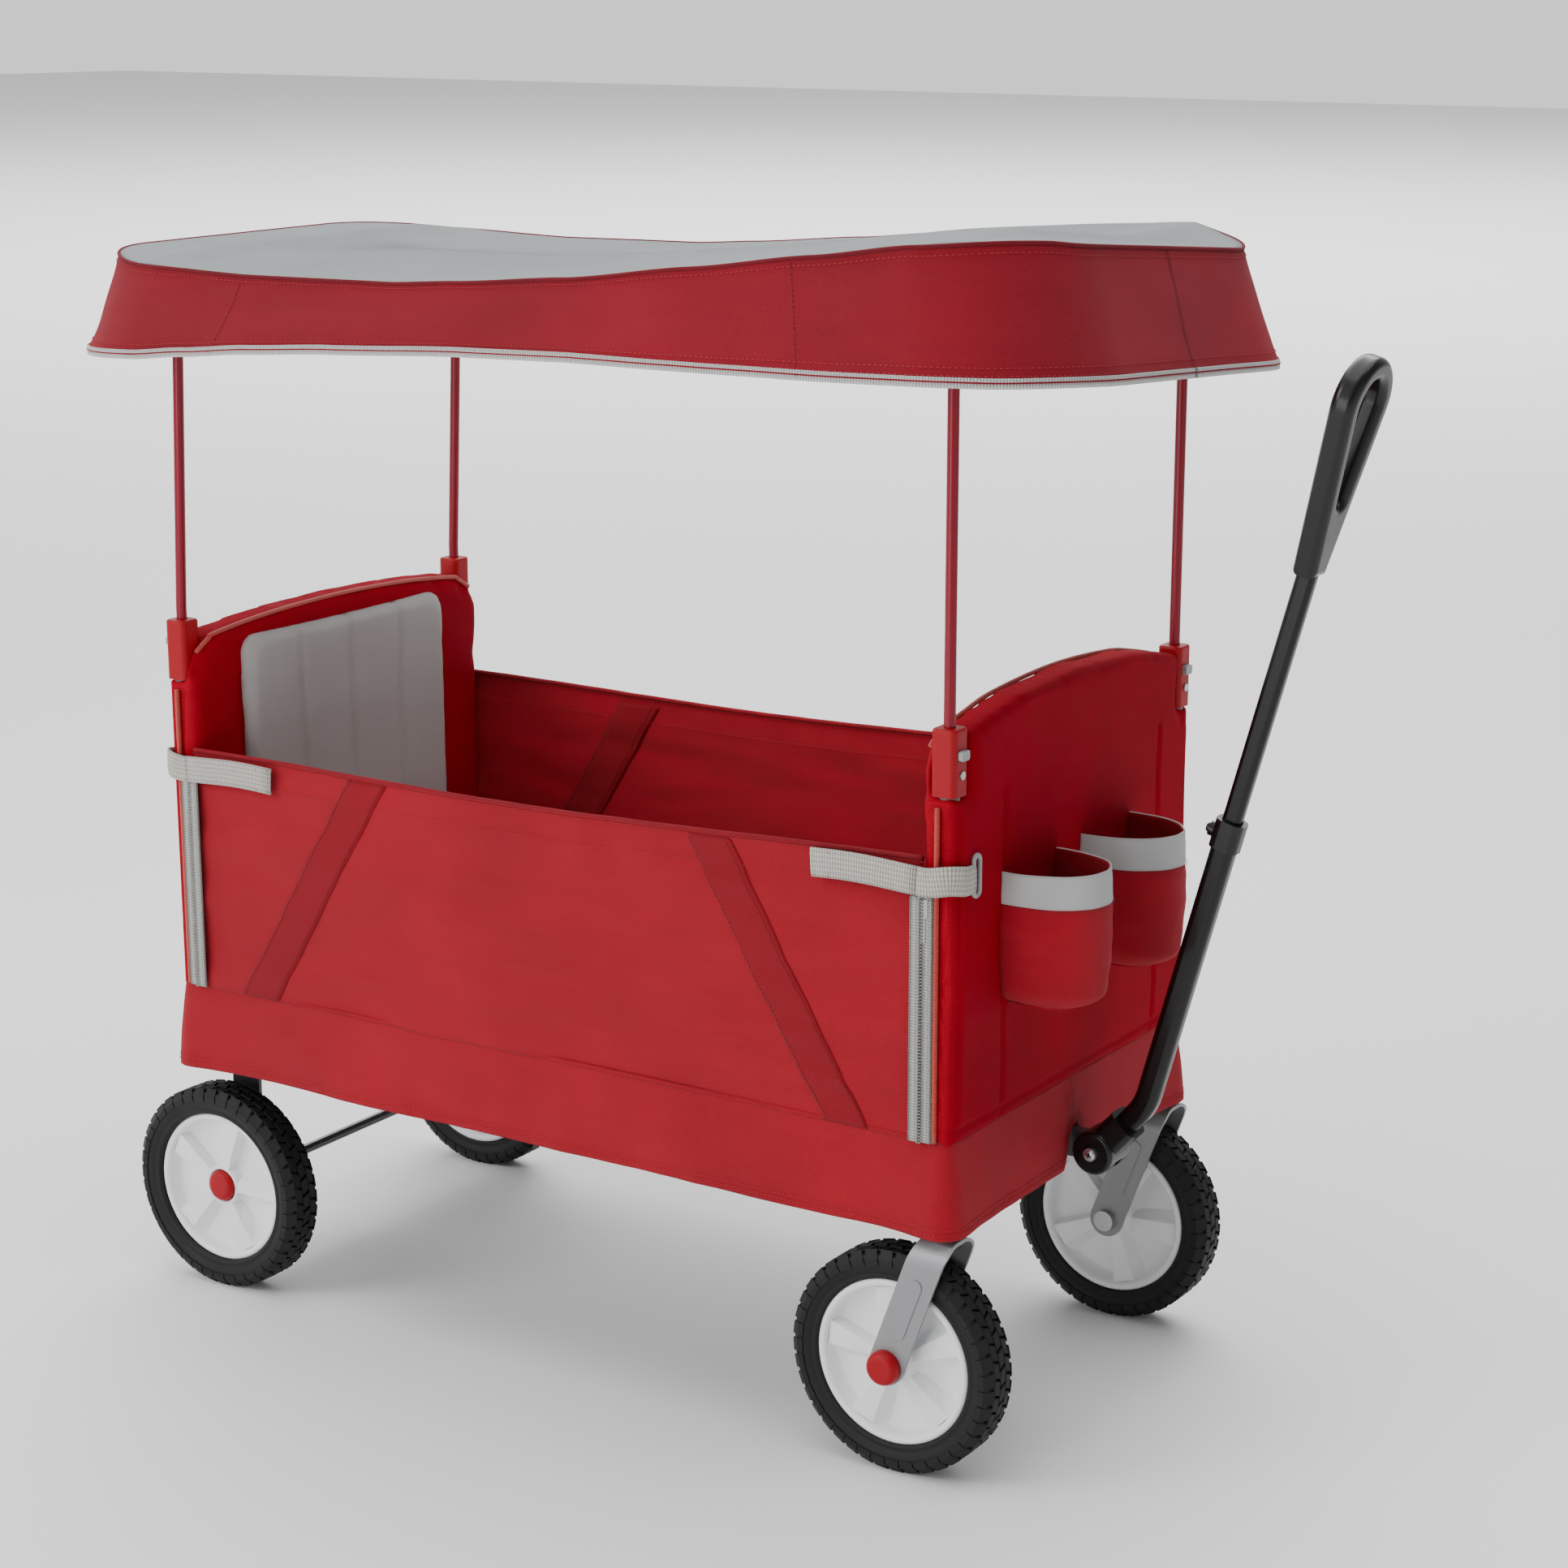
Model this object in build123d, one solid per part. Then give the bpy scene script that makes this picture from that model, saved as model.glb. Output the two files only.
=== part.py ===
from build123d import *
import math
import os

# Kids pull wagon: two padded end frames joined by a folding floor, fabric sides, a canopy on
# four poles, two fixed rear wheels, two front casters and a telescoping pull handle.
# Millimetres. +X is the pulling direction, +Y the left side, +Z up, and z = 0 is the ground.
# Everything is laid out about the point midway between the four posts; the last section
# slides the whole wagon along X so that the origin is below the middle of its overall length.

# ---- Driving dimensions: layout ----
post_span_x = 843.2
post_span_y = 408.0
post_diameter = 19.0
tube_wall = 1.5
fold_angle = 75.0

# ---- Driving dimensions: wheels ----
tyre_diameter = 203.2
tyre_width = 42.0
tyre_shoulder = 9.0
rim_diameter = 151.0
rim_ring_width = 30.0
rim_ring_wall = 6.0
rim_web = 5.0
hub_diameter = 36.0
hub_width = 43.0
short_hub = 13.0
cap_seat = 3.6
cap_radius = 15.5
cap_depth = 11.0
spoke_count = 5
spoke_rise = 8.0
axle_diameter = 10.0
rear_axle_inset = 25.6
track_offset = -1.0
caster_trail = 41.6

# ---- Driving dimensions: body fabric ----
skirt_bottom = 223.0
body_seam = 306.0
side_top = 545.0
skin_gap = 2.5
skin_offset = post_diameter / 2 + skin_gap
side_fabric = 5.0
skirt_fabric = 2.0
end_pad_depth = 29.6
end_pad_wrap = 3.0
end_pad_side = post_diameter / 2 + end_pad_wrap
skin_corner = 12.0
front_top_middle = 685.0
front_top_corner = 662.0
front_top_edge = 634.0
rear_top_middle = 662.0
rear_top_corner = 650.0
rear_top_edge = 618.0
back_pad_width = 300.0
back_pad_depth = 10.0
back_pad_bottom = 330.0

# ---- Driving dimensions: floor ----
floor_board = 10.0
floor_mat = 8.0
floor_side = 9.0
board_pivot_z = 298.0
board_pivot_inset = 31.6
hinge_pin_diameter = 6.0

# ---- Driving dimensions: pole holders and canopy ----
pole_diameter = 10.0
holder_width = 24.0
holder_bottom = 608.0
holder_height = 57.0
pole_seat = 622.0
tab_travel = 2.0
canopy_hem_ends = 121.4
canopy_hem_sides = 57.0
canopy_hem_corner = 131.0
canopy_edge_ends = 88.4
canopy_edge_sides = 31.0
canopy_edge_corner = 114.0
canopy_hem_rear_z = 922.0
canopy_hem_front_z = 948.0
canopy_edge_rear_z = 990.0
canopy_edge_front_z = 1054.0
canopy_crown = 20.0
canopy_centre_x = -5.0
canopy_fabric = 3.0
bow_drop = 12.0
bow_radius = 45.0
rear_bow_lean = 14.0

# ---- Driving dimensions: pull handle ----
handle_reach = 42.4
handle_pivot_z = 246.0
handle_hub_diameter = 40.0
handle_hub_width = 38.0
handle_tongue = 12.0
handle_bolt_diameter = 8.0
neck_angle = 42.0
neck_length = 65.4
handle_lean = 15.4
lower_tube_length = 278.0
lower_tube_deep = 22.0
lower_tube_wide = 18.0
handle_tube_wall = 1.8
upper_tube_shown = 228.0
upper_tube_inside = 40.0
handle_bend = 55.0
grip_length = 190.0
grip_width = 80.0
grip_depth = 22.0
grip_neck = 27.0

# ---- Driving dimensions: cup pockets ----
pocket_width = 96.0
pocket_depth = 80.0
pocket_top = 532.0
pocket_bottom = 414.0
pocket_fabric = 2.5
pocket_places = (-93.0, 47.0)

# ---- Clearances ----
running = 0.05
gap = 0.3
sliding = 0.45
side_play = 0.4

# ---- Worked out from the driving dimensions ----
post_x = post_span_x / 2
post_y = post_span_y / 2
post_radius = post_diameter / 2
rear_axle_x = rear_axle_inset - post_x
track_half = post_y + track_offset
floor_half_width = post_y + floor_side
handle_pivot_x = post_x + handle_reach
canopy_hem_length = post_span_x + 2 * canopy_hem_ends
canopy_hem_width = post_span_y + 2 * canopy_hem_sides
canopy_edge_length = post_span_x + 2 * canopy_edge_ends
canopy_edge_width = post_span_y + 2 * canopy_edge_sides
skin_x = post_x + skin_offset
skirt_half_width = post_y + skin_offset + 1.0
side_outer_y = skirt_half_width + 1.5
end_half_width = post_y + end_pad_side
end_inner_x = skin_x - end_pad_depth
wheel_radius = tyre_diameter / 2
axle_radius = axle_diameter / 2
front_wheel_x = post_x - caster_trail
pivot_x = post_x - board_pivot_inset
board_bottom = board_pivot_z - floor_board
mat_top = board_pivot_z + floor_mat
pin_radius = hinge_pin_diameter / 2
holder_top = holder_bottom + holder_height
holder_face = post_x + holder_width / 2
post_top = pole_seat - 4.0
pole_radius = pole_diameter / 2

parts = {}
MIRROR_SIDES = (("right", -1), ("left", 1))
ENDS = (("rear", -1), ("front", 1))


def block(x0, x1, y0, y1, z0, z1):
    """A box between two corners, given in any order."""
    centre = Pos((x0 + x1) / 2, (y0 + y1) / 2, (z0 + z1) / 2)
    return centre * Box(abs(x1 - x0), abs(y1 - y0), abs(z1 - z0))


def rod_y(x, z, y0, y1, radius):
    """A round bar along Y."""
    return Pos(x, (y0 + y1) / 2, z) * Rot(90, 0, 0) * Cylinder(radius, abs(y1 - y0))


def rod_z(x, y, z0, z1, radius):
    """A round bar along Z."""
    return Pos(x, y, (z0 + z1) / 2) * Cylinder(radius, abs(z1 - z0))


def rod_x(x0, x1, y, z, radius):
    """A round bar along X."""
    return Pos((x0 + x1) / 2, y, z) * Rot(0, 90, 0) * Cylinder(radius, abs(x1 - x0))


def group(solids):
    """Separate solids kept together in one node."""
    return Compound([solid.solid() for solid in solids])


# ---- Wheels ----
def tyre(y):
    """A tyre with rounded shoulders, its bore seated on the rim."""
    bore = rim_diameter / 2
    profile = Plane.XY * Pos((wheel_radius + bore) / 2, 0) * Rectangle(wheel_radius - bore, tyre_width)
    outer_corners = profile.vertices().sort_by(Axis.X)[-2:]
    profile = fillet(outer_corners, tyre_shoulder)
    profile = chamfer(profile.vertices().group_by(Axis.X)[0], 4.0)
    return Pos(0, y, wheel_radius) * revolve(profile, Axis.Y)


def rim(y, outboard=0):
    """A moulded rim: outer ring, thin web, hub and raised wedge spokes on both faces.

    outboard is the side, if any, where the hub is short and counterbored for a recessed cap."""
    outer = rim_diameter / 2
    inner = outer - rim_ring_wall
    ring = Cylinder(outer, rim_ring_width) - Cylinder(inner, rim_ring_width + 2)
    web = Cylinder(inner + 1, rim_web)
    hub = Cylinder(hub_diameter / 2, hub_width)
    wheel = ring + web + hub
    root = hub_diameter / 2 - 2
    half_root = 6.0
    half_tip = 15.0
    wedge = make_face(Polyline((root, -half_root), (inner + 1, -half_tip),
                               (inner + 1, half_tip), (root, half_root), close=True))
    height = rim_web + 2 * spoke_rise
    spoke = Pos(0, 0, -height / 2) * extrude(wedge, height)
    for index in range(spoke_count):
        wheel += Rot(0, 0, index * 360 / spoke_count) * spoke
    wheel -= Cylinder(axle_radius + running, hub_width + 2)
    if outboard:
        side = -outboard
        wheel -= Pos(0, 0, side * (short_hub + hub_width / 2)) * Cylinder(hub_diameter, hub_width)
        wheel -= Pos(0, 0, side * (cap_seat + hub_width / 2)) * Cylinder(cap_radius + 0.7, hub_width)
    return Pos(0, y, wheel_radius) * Rot(90, 0, 0) * wheel


for side, sign in MIRROR_SIDES:
    for end, wheel_x in (("rear", rear_axle_x), ("front", front_wheel_x)):
        parts[f"{end}_{side}_tyre"] = Pos(wheel_x, 0, 0) * tyre(sign * track_half)
        recessed = sign if end == "rear" else 0
        parts[f"{end}_{side}_rim"] = Pos(wheel_x, 0, 0) * rim(sign * track_half, recessed)

# ---- End frames ----
cross_low_z = 285.0
cross_high_z = 560.0
bore_radius = post_radius - tube_wall


def hoop(direction):
    """Two posts and two cross tubes, hollow, welded into one frame."""
    x = direction * post_x
    frame = rod_y(x, cross_low_z, -post_y, post_y, post_radius)
    frame += rod_y(x, cross_high_z, -post_y, post_y, post_radius)
    for sign in (-1, 1):
        frame += rod_z(x, sign * post_y, cross_low_z - post_radius, post_top, post_radius)
    for sign in (-1, 1):
        frame -= rod_z(x, sign * post_y, cross_low_z - post_radius - 1, post_top + 1, bore_radius)
    inner_end = post_y - post_radius - 1
    frame -= rod_y(x, cross_low_z, -inner_end, inner_end, bore_radius)
    frame -= rod_y(x, cross_high_z, -inner_end, inner_end, bore_radius)
    return frame


def holder(direction, sign):
    """The moulded socket on a post's top that takes a canopy pole."""
    x, y = direction * post_x, sign * post_y
    half = holder_width / 2
    body = block(x - half, x + half, y - half, y + half, holder_bottom, holder_top)
    body = fillet(body.edges().filter_by(Axis.Z), 6.0)
    body = fillet(body.edges().group_by(Axis.Z)[-1], 2.5)
    body -= rod_z(x, y, holder_bottom - 1, post_top, post_radius)
    body -= rod_z(x, y, pole_seat, holder_top + 1, pole_radius + running)
    face = direction * holder_face
    body -= block(face - direction * tab_pocket, face + direction, y - tab_wide / 2, y + tab_wide / 2,
                  tab_z - tab_high / 2, tab_z + tab_high / 2)
    body -= rod_x(face - direction * rivet_sunk, face + direction, y, rivet_z, rivet_radius)
    return body


tab_wide = 13.0
tab_high = 9.0
tab_pocket = 4.6
tab_proud = 4.0
tab_z = 643.0
rivet_z = 626.0
rivet_radius = 2.6
rivet_head = 3.6
rivet_sunk = 4.0


def release_tab(direction, sign):
    """A push tab in its pocket, with room behind it for its travel."""
    y = sign * post_y
    face = direction * holder_face
    inner = face - direction * (tab_pocket - tab_travel - gap)
    outer = face + direction * tab_proud
    tab = block(inner, outer, y - tab_wide / 2 + gap, y + tab_wide / 2 - gap,
                tab_z - tab_high / 2 + gap, tab_z + tab_high / 2 - gap)
    return fillet(tab.edges().filter_by(Axis.X), 2.5)


def holder_rivet(direction, sign):
    """A domed rivet below the release tab."""
    y = sign * post_y
    face = direction * holder_face
    shank = rod_x(face - direction * rivet_sunk, face, y, rivet_z, rivet_radius)
    head = rod_x(face, face + direction * 1.6, y, rivet_z, rivet_head)
    return shank + head


for end, direction in ENDS:
    parts[f"{end}_hoop"] = hoop(direction)
    parts[f"{end}_pole_holders"] = group([holder(direction, sign) for sign in (-1, 1)])
    parts[f"{end}_holder_rivets"] = group([holder_rivet(direction, sign) for sign in (-1, 1)])
    for side, sign in MIRROR_SIDES:
        parts[f"{end}_{side}_release_tab"] = release_tab(direction, sign)


# ---- Padded end panels, which wrap round the posts ----
def end_panel(direction, top_middle, top_corner, top_edge):
    """A padded panel with a crowned top edge and a notch for each pole holder."""
    shoulder = post_y - 14.0
    outline = Curve() + [
        Line((-end_half_width, body_seam + gap), (end_half_width, body_seam + gap)),
        Line((end_half_width, body_seam + gap), (end_half_width, top_edge)),
        Line((end_half_width, top_edge), (shoulder, top_corner)),
        ThreePointArc((shoulder, top_corner), (0, top_middle), (-shoulder, top_corner)),
        Line((-shoulder, top_corner), (-end_half_width, top_edge)),
        Line((-end_half_width, top_edge), (-end_half_width, body_seam + gap)),
    ]
    face = Plane.YZ * make_face(outline)
    panel = extrude(face, direction * end_pad_depth)
    panel = Pos(direction * end_inner_x, 0, 0) * panel
    upright = [edge for edge in panel.edges().filter_by(Axis.Z) if abs(edge.center().X) > end_inner_x + 1]
    panel = fillet(upright, skin_corner)
    x = direction * post_x
    notch_half = holder_width / 2 + gap
    for sign in (-1, 1):
        y = sign * post_y
        panel -= rod_z(x, y, body_seam - 1, holder_bottom, post_radius + gap)
        panel -= block(x - direction * notch_half, x + direction * 60, y - sign * notch_half, y + sign * 60,
                       holder_bottom - gap, holder_top + 40)
    panel -= rod_y(x, cross_high_z, -post_y, post_y, post_radius + gap)
    return panel


parts["rear_end_panel"] = end_panel(-1, rear_top_middle, rear_top_corner, rear_top_edge)
parts["front_end_panel"] = end_panel(1, front_top_middle, front_top_corner, front_top_edge)


def back_pad(direction, top):
    """The quilted pad sewn on the inside of an end panel."""
    inner = direction * (end_inner_x - gap)
    pad = block(inner, inner - direction * back_pad_depth, -back_pad_width / 2, back_pad_width / 2,
                back_pad_bottom, top)
    return fillet(pad.edges().filter_by(Axis.X), 20.0)


parts["rear_back_pad"] = back_pad(-1, rear_top_corner - 8.0)
parts["front_back_pad"] = back_pad(1, front_top_corner - 8.0)

# ---- Fabric sides and the skirt below them ----
side_end_x = end_inner_x - 2.0
parts["right_side_panel"] = block(-side_end_x, side_end_x, -side_outer_y, -side_outer_y + side_fabric,
                                  body_seam + gap, side_top)
parts["left_side_panel"] = block(-side_end_x, side_end_x, side_outer_y - side_fabric, side_outer_y,
                                 body_seam + gap, side_top)

tongue_half = handle_tongue / 2
notch_top = handle_pivot_z + 16.0
skirt_height = body_seam - gap - skirt_bottom
skirt_corner = skin_corner + 2.0
skirt_outer = extrude(RectangleRounded(2 * skin_x, 2 * skirt_half_width, skirt_corner), skirt_height)
skirt_inner = extrude(RectangleRounded(2 * (skin_x - skirt_fabric), 2 * (skirt_half_width - skirt_fabric),
                                       skirt_corner - skirt_fabric), skirt_height)
skirt = Pos(0, 0, skirt_bottom) * (skirt_outer - skirt_inner)
skirt -= block(skin_x - 30, skin_x + 10, -tongue_half - 2, tongue_half + 2, skirt_bottom - 1, notch_top)
parts["lower_skirt"] = skirt

# ---- Zip sliders at the ends of the drop-down side ----
zip_wide = 9.0
zip_deep = 4.5
zip_high = 16.0
zip_top = 521.0
zip_x = end_inner_x - gap - side_play + zip_wide / 2
for end, direction in ENDS:
    x = direction * zip_x
    face = -end_half_width - gap
    slider = block(x - zip_wide / 2, x + zip_wide / 2, face - zip_deep, face, zip_top - zip_high, zip_top)
    slider += block(x - 2.5, x + 2.5, face - zip_deep, face - zip_deep + 1.8, zip_top - zip_high - 22, zip_top - 4)
    parts[f"{end}_zip_slider"] = slider

# ---- Folding floor ----
ear_inner = 112.0
ear_thick = 3.0
knuckle_width = 30.0
knuckle_radius = pin_radius + 2.5
ear_radius = 7.0
knuckle_low = ear_inner + ear_thick + side_play
knuckle_high = knuckle_low + knuckle_width
ear_high = knuckle_high + side_play
board_end_x = pivot_x - 10.0
mat_end_x = pivot_x - 14.0
middle_pivot_z = board_bottom - 5.0
middle_gap = 7.0
middle_knuckle = 5.0
rear_knuckle_y = 60.0
front_knuckle_y = 90.0
rib_depth = 8.0
inner_rib_y = 30.0
outer_rib_y = floor_half_width - 38.0
rib_end_x = (middle_pivot_z - board_bottom + rib_depth + gap) * math.tan(math.radians(fold_angle)) + 8.0


def floor_hinges(direction):
    """Two pairs of ears on the lower cross tube, each pair with its hinge pin."""
    solids = []
    for sign in (-1, 1):
        ears = None
        for start in (ear_inner, ear_high):
            y0, y1 = sign * start, sign * (start + ear_thick)
            ear = rod_y(direction * pivot_x, board_pivot_z, y0, y1, ear_radius)
            ear += block(direction * pivot_x, direction * post_x, y0, y1,
                         board_pivot_z - ear_radius, board_pivot_z + ear_radius - 1)
            ears = ear if ears is None else ears + ear
        ears += rod_y(direction * pivot_x, board_pivot_z, sign * ear_inner, sign * (ear_high + ear_thick), pin_radius)
        ears -= rod_y(direction * post_x, cross_low_z, -post_y, post_y, post_radius)
        solids.append(ears)
    return group(solids)


def floor_board_half(direction, own_knuckle, pin_clearance):
    """Half of the floor: a board with ribs, end knuckles and middle knuckles."""
    board = block(direction * middle_gap, direction * board_end_x, -floor_half_width, floor_half_width,
                  board_bottom, board_pivot_z)
    for sign in (-1, 1):
        for y in (inner_rib_y, outer_rib_y):
            board += block(direction * rib_end_x, direction * (board_end_x - 14), sign * y - 5, sign * y + 5,
                           board_bottom - rib_depth, board_bottom)
        y0, y1 = sign * knuckle_low, sign * knuckle_high
        board += rod_y(direction * pivot_x, board_pivot_z, y0, y1, knuckle_radius)
        board += block(direction * pivot_x, direction * (board_end_x - 2), y0, y1,
                       board_pivot_z - knuckle_radius, board_pivot_z)
        board -= rod_y(direction * pivot_x, board_pivot_z, y0, y1, pin_radius + running)
        y0, y1 = sign * own_knuckle, sign * (own_knuckle + knuckle_width - side_play)
        board += rod_y(0, middle_pivot_z, y0, y1, middle_knuckle)
        board += block(0, direction * 30, y0, y1, middle_pivot_z + 2, board_bottom)
        board -= rod_y(0, middle_pivot_z, y0, y1, pin_radius + pin_clearance)
    return board


def floor_mat_half(direction):
    """The padded mat on one half of the floor."""
    return block(direction * 3, direction * mat_end_x, -floor_half_width + 3, floor_half_width - 3,
                 board_pivot_z, mat_top)


for end, direction in ENDS:
    parts[f"{end}_floor_hinges"] = floor_hinges(direction)
    parts[f"{end}_floor_mat"] = floor_mat_half(direction)
parts["rear_floor_board"] = floor_board_half(-1, rear_knuckle_y, 0.0)
parts["front_floor_board"] = floor_board_half(1, front_knuckle_y, running)
pin_start = rear_knuckle_y
pin_end = front_knuckle_y + knuckle_width
parts["floor_middle_pins"] = group([rod_y(0, middle_pivot_z, sign * pin_start, sign * pin_end, pin_radius)
                                    for sign in (-1, 1)])

# ---- Rear axle ----
leg_y = post_y - 34.0
leg_thick = 4.0
leg_half = 17.0
axle_end = track_half + cap_seat + 5.0
parts["rear_axle"] = rod_y(rear_axle_x, wheel_radius, -axle_end, axle_end, axle_radius)
legs = []
for sign in (-1, 1):
    y0, y1 = sign * (leg_y - leg_thick / 2), sign * (leg_y + leg_thick / 2)
    leg = rod_y(rear_axle_x, wheel_radius, y0, y1, leg_half)
    leg += block(rear_axle_x - leg_half, rear_axle_x + leg_half, y0, y1, wheel_radius, cross_low_z)
    leg -= rod_y(rear_axle_x, wheel_radius, y0, y1, axle_radius)
    leg -= rod_y(-post_x, cross_low_z, y0, y1, post_radius)
    legs.append(leg)
parts["rear_axle_legs"] = group(legs)


def hub_cap(x, y_face, sign):
    """A domed push-on cap over an axle end, its back face at y_face."""
    cap = rod_y(x, wheel_radius, y_face, y_face + sign * cap_depth, cap_radius)
    rim_edges = cap.edges().sort_by(Axis.Y)
    outer_edge = rim_edges[-1] if sign > 0 else rim_edges[0]
    return fillet(outer_edge, 7.0)


caps = []
for sign in (-1, 1):
    cap = hub_cap(rear_axle_x, sign * (track_half + cap_seat + side_play), sign)
    cap -= rod_y(rear_axle_x, wheel_radius, 0, sign * axle_end, axle_radius)
    caps.append(cap)
parts["rear_axle_caps"] = group(caps)

# ---- Front casters ----
fork_inner = tyre_width / 2 + 2.5
fork_plate = 3.0
fork_outer = fork_inner + fork_plate
fork_top = wheel_radius * 2 + 17.0
fork_bend = 20.0
fork_half = 17.0
rib_length = 48.0
rib_width = 13.0
rib_proud = 0.9
swivel_x = post_x
stem_radius = 6.0
housing_radius = 9.2
housing_bottom = fork_top + 6.0
housing_top = housing_bottom + 36.0
washer_radius = 8.8
flange_radius = 9.5


def caster_fork(y):
    """A stamped strap bent over the wheel, trailing back to the wheel's axle."""
    top_centre = (swivel_x, fork_top - 5.0)
    low_centre = (front_wheel_x, wheel_radius)
    dx, dz = top_centre[0] - low_centre[0], top_centre[1] - low_centre[1]
    reach = math.hypot(dx, dz)
    tilt = math.degrees(math.atan2(dz, dx))
    outline = SlotCenterToCenter(reach, 2 * fork_half)
    strip = Plane.XZ * Pos((top_centre[0] + low_centre[0]) / 2, (top_centre[1] + low_centre[1]) / 2) * \
        Rot(0, 0, tilt) * outline
    strip = Pos(0, fork_outer + 5, 0) * extrude(strip, 2 * fork_outer + 10)
    tall = fork_top + 40
    low = 60.0
    outer = Pos(0, (fork_top + low) / 2) * Rectangle(2 * fork_outer, fork_top - low)
    outer = fillet(outer.vertices().group_by(Axis.Y)[-1], fork_bend)
    inner_top = fork_top - fork_plate
    inner = Pos(0, (inner_top + low) / 2) * Rectangle(2 * fork_inner, inner_top - low)
    inner = fillet(inner.vertices().group_by(Axis.Y)[-1], fork_bend - fork_plate)
    band = Plane.YZ * (outer - inner)
    band = Pos(front_wheel_x - 60, 0, 0) * extrude(band, 200)
    fork = strip & band
    rib = Pos((top_centre[0] + low_centre[0]) / 2, (top_centre[1] + low_centre[1]) / 2) * \
        Rot(0, 0, tilt) * SlotCenterToCenter(rib_length, rib_width)
    ribs = Pos(0, fork_outer + rib_proud, 0) * extrude(Plane.XZ * rib, 2 * (fork_outer + rib_proud))
    between = block(front_wheel_x - 60, swivel_x + 60, -fork_outer + 1, fork_outer - 1, 0, fork_top)
    fork += ribs - between
    fork -= rod_y(front_wheel_x, wheel_radius, -tall, tall, axle_radius)
    fork -= rod_z(swivel_x, 0, fork_top - 10, fork_top + 1, stem_radius)
    return Pos(0, y, 0) * fork


for side, sign in MIRROR_SIDES:
    y = sign * track_half
    parts[f"{side}_caster_fork"] = caster_fork(y)
    stem = rod_z(swivel_x, y, fork_top - fork_plate, housing_top + gap + 3, stem_radius)
    stem += rod_z(swivel_x, y, fork_top, housing_bottom - gap, flange_radius)
    stem += rod_z(swivel_x, y, housing_top + gap, housing_top + gap + 3, washer_radius)
    parts[f"{side}_caster_stem"] = stem
    bolt = rod_y(front_wheel_x, wheel_radius, y - sign * fork_outer, y + sign * (fork_outer + 2), axle_radius)
    bolt += rod_y(front_wheel_x, wheel_radius, y - sign * fork_outer, y - sign * (fork_outer + 6), 10.0)
    parts[f"{side}_caster_axle"] = bolt
    cap = hub_cap(front_wheel_x, y + sign * fork_outer, sign)
    cap -= rod_y(front_wheel_x, wheel_radius, y, y + sign * (fork_outer + 2), axle_radius)
    parts[f"{side}_caster_cap"] = cap

saddle_y0 = post_y - 32.0
saddle_y1 = post_y - 14.0
housings = []
for sign in (-1, 1):
    y = sign * track_half
    housing = rod_z(swivel_x, y, housing_bottom, housing_top, housing_radius)
    housing += block(swivel_x - housing_radius, swivel_x + housing_radius, sign * saddle_y0, y,
                     housing_bottom, housing_top - 6)
    housing += block(swivel_x - housing_radius, swivel_x + housing_radius, sign * saddle_y0, sign * saddle_y1,
                     housing_bottom, cross_low_z)
    housing -= rod_z(swivel_x, y, housing_bottom - 1, housing_top + 1, stem_radius + running)
    housing -= rod_y(post_x, cross_low_z, -post_y, post_y, post_radius)
    housings.append(housing)
parts["front_swivel_housings"] = group(housings)

# ---- Pull handle ----
socket_inset = 22.0
socket_width = 30.0
socket_length = 34.0
socket_base = 6.0
hub_edge = 4.0
slot_room = 1.5
collar_length = 26.0
collar_wall = 2.2
collar_lip = 2.0
button_height = 12.0
boss_radius = 6.5
boss_depth = 6.0
button_radius = 4.0
button_travel = 2.0
button_floor = 2.0
button_length = 5.0
grip_socket = 38.0
grip_edge = 7.5
grip_finger_wall = 19.0
lean = math.radians(handle_lean)
neck = math.radians(neck_angle)
along = Vector(math.sin(lean), 0, math.cos(lean))
neck_way = Vector(math.sin(neck), 0, math.cos(neck))
pivot = Vector(handle_pivot_x, 0, handle_pivot_z)
elbow = pivot + neck_way * neck_length
collar_top = elbow + along * lower_tube_length
socket_start = pivot + neck_way * socket_inset
hub_radius = handle_hub_diameter / 2
bolt_radius = handle_bolt_diameter / 2
tongue_radius = hub_radius - 6.0
hub_slot_low = 8.0
upper_deep = lower_tube_deep - 2 * (handle_tube_wall + sliding)
upper_wide = lower_tube_wide - 2 * (handle_tube_wall + sliding)
slide_travel = lower_tube_length - upper_tube_inside - 23.0


def across(point, way):
    """The plane square to the handle at a point, its X along the wagon's Y."""
    return Plane(origin=point, x_dir=(0, 1, 0), z_dir=way)


def section(wide, deep):
    """The handle tubes' rounded section."""
    return RectangleRounded(wide, deep, min(wide, deep) * 0.38)


tongue = rod_y(handle_pivot_x, handle_pivot_z, -tongue_half, tongue_half, tongue_radius)
tongue += block(post_x, handle_pivot_x, -tongue_half, tongue_half,
                handle_pivot_z - tongue_radius + 3, handle_pivot_z + tongue_radius)
tongue += block(post_x - 6, post_x + 6, -tongue_half, tongue_half, handle_pivot_z - tongue_radius + 3, cross_low_z)
tongue -= rod_y(post_x, cross_low_z, -post_y, post_y, post_radius)
tongue -= rod_y(handle_pivot_x, handle_pivot_z, -tongue_half, tongue_half, bolt_radius + running)
parts["handle_bracket"] = tongue

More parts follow.
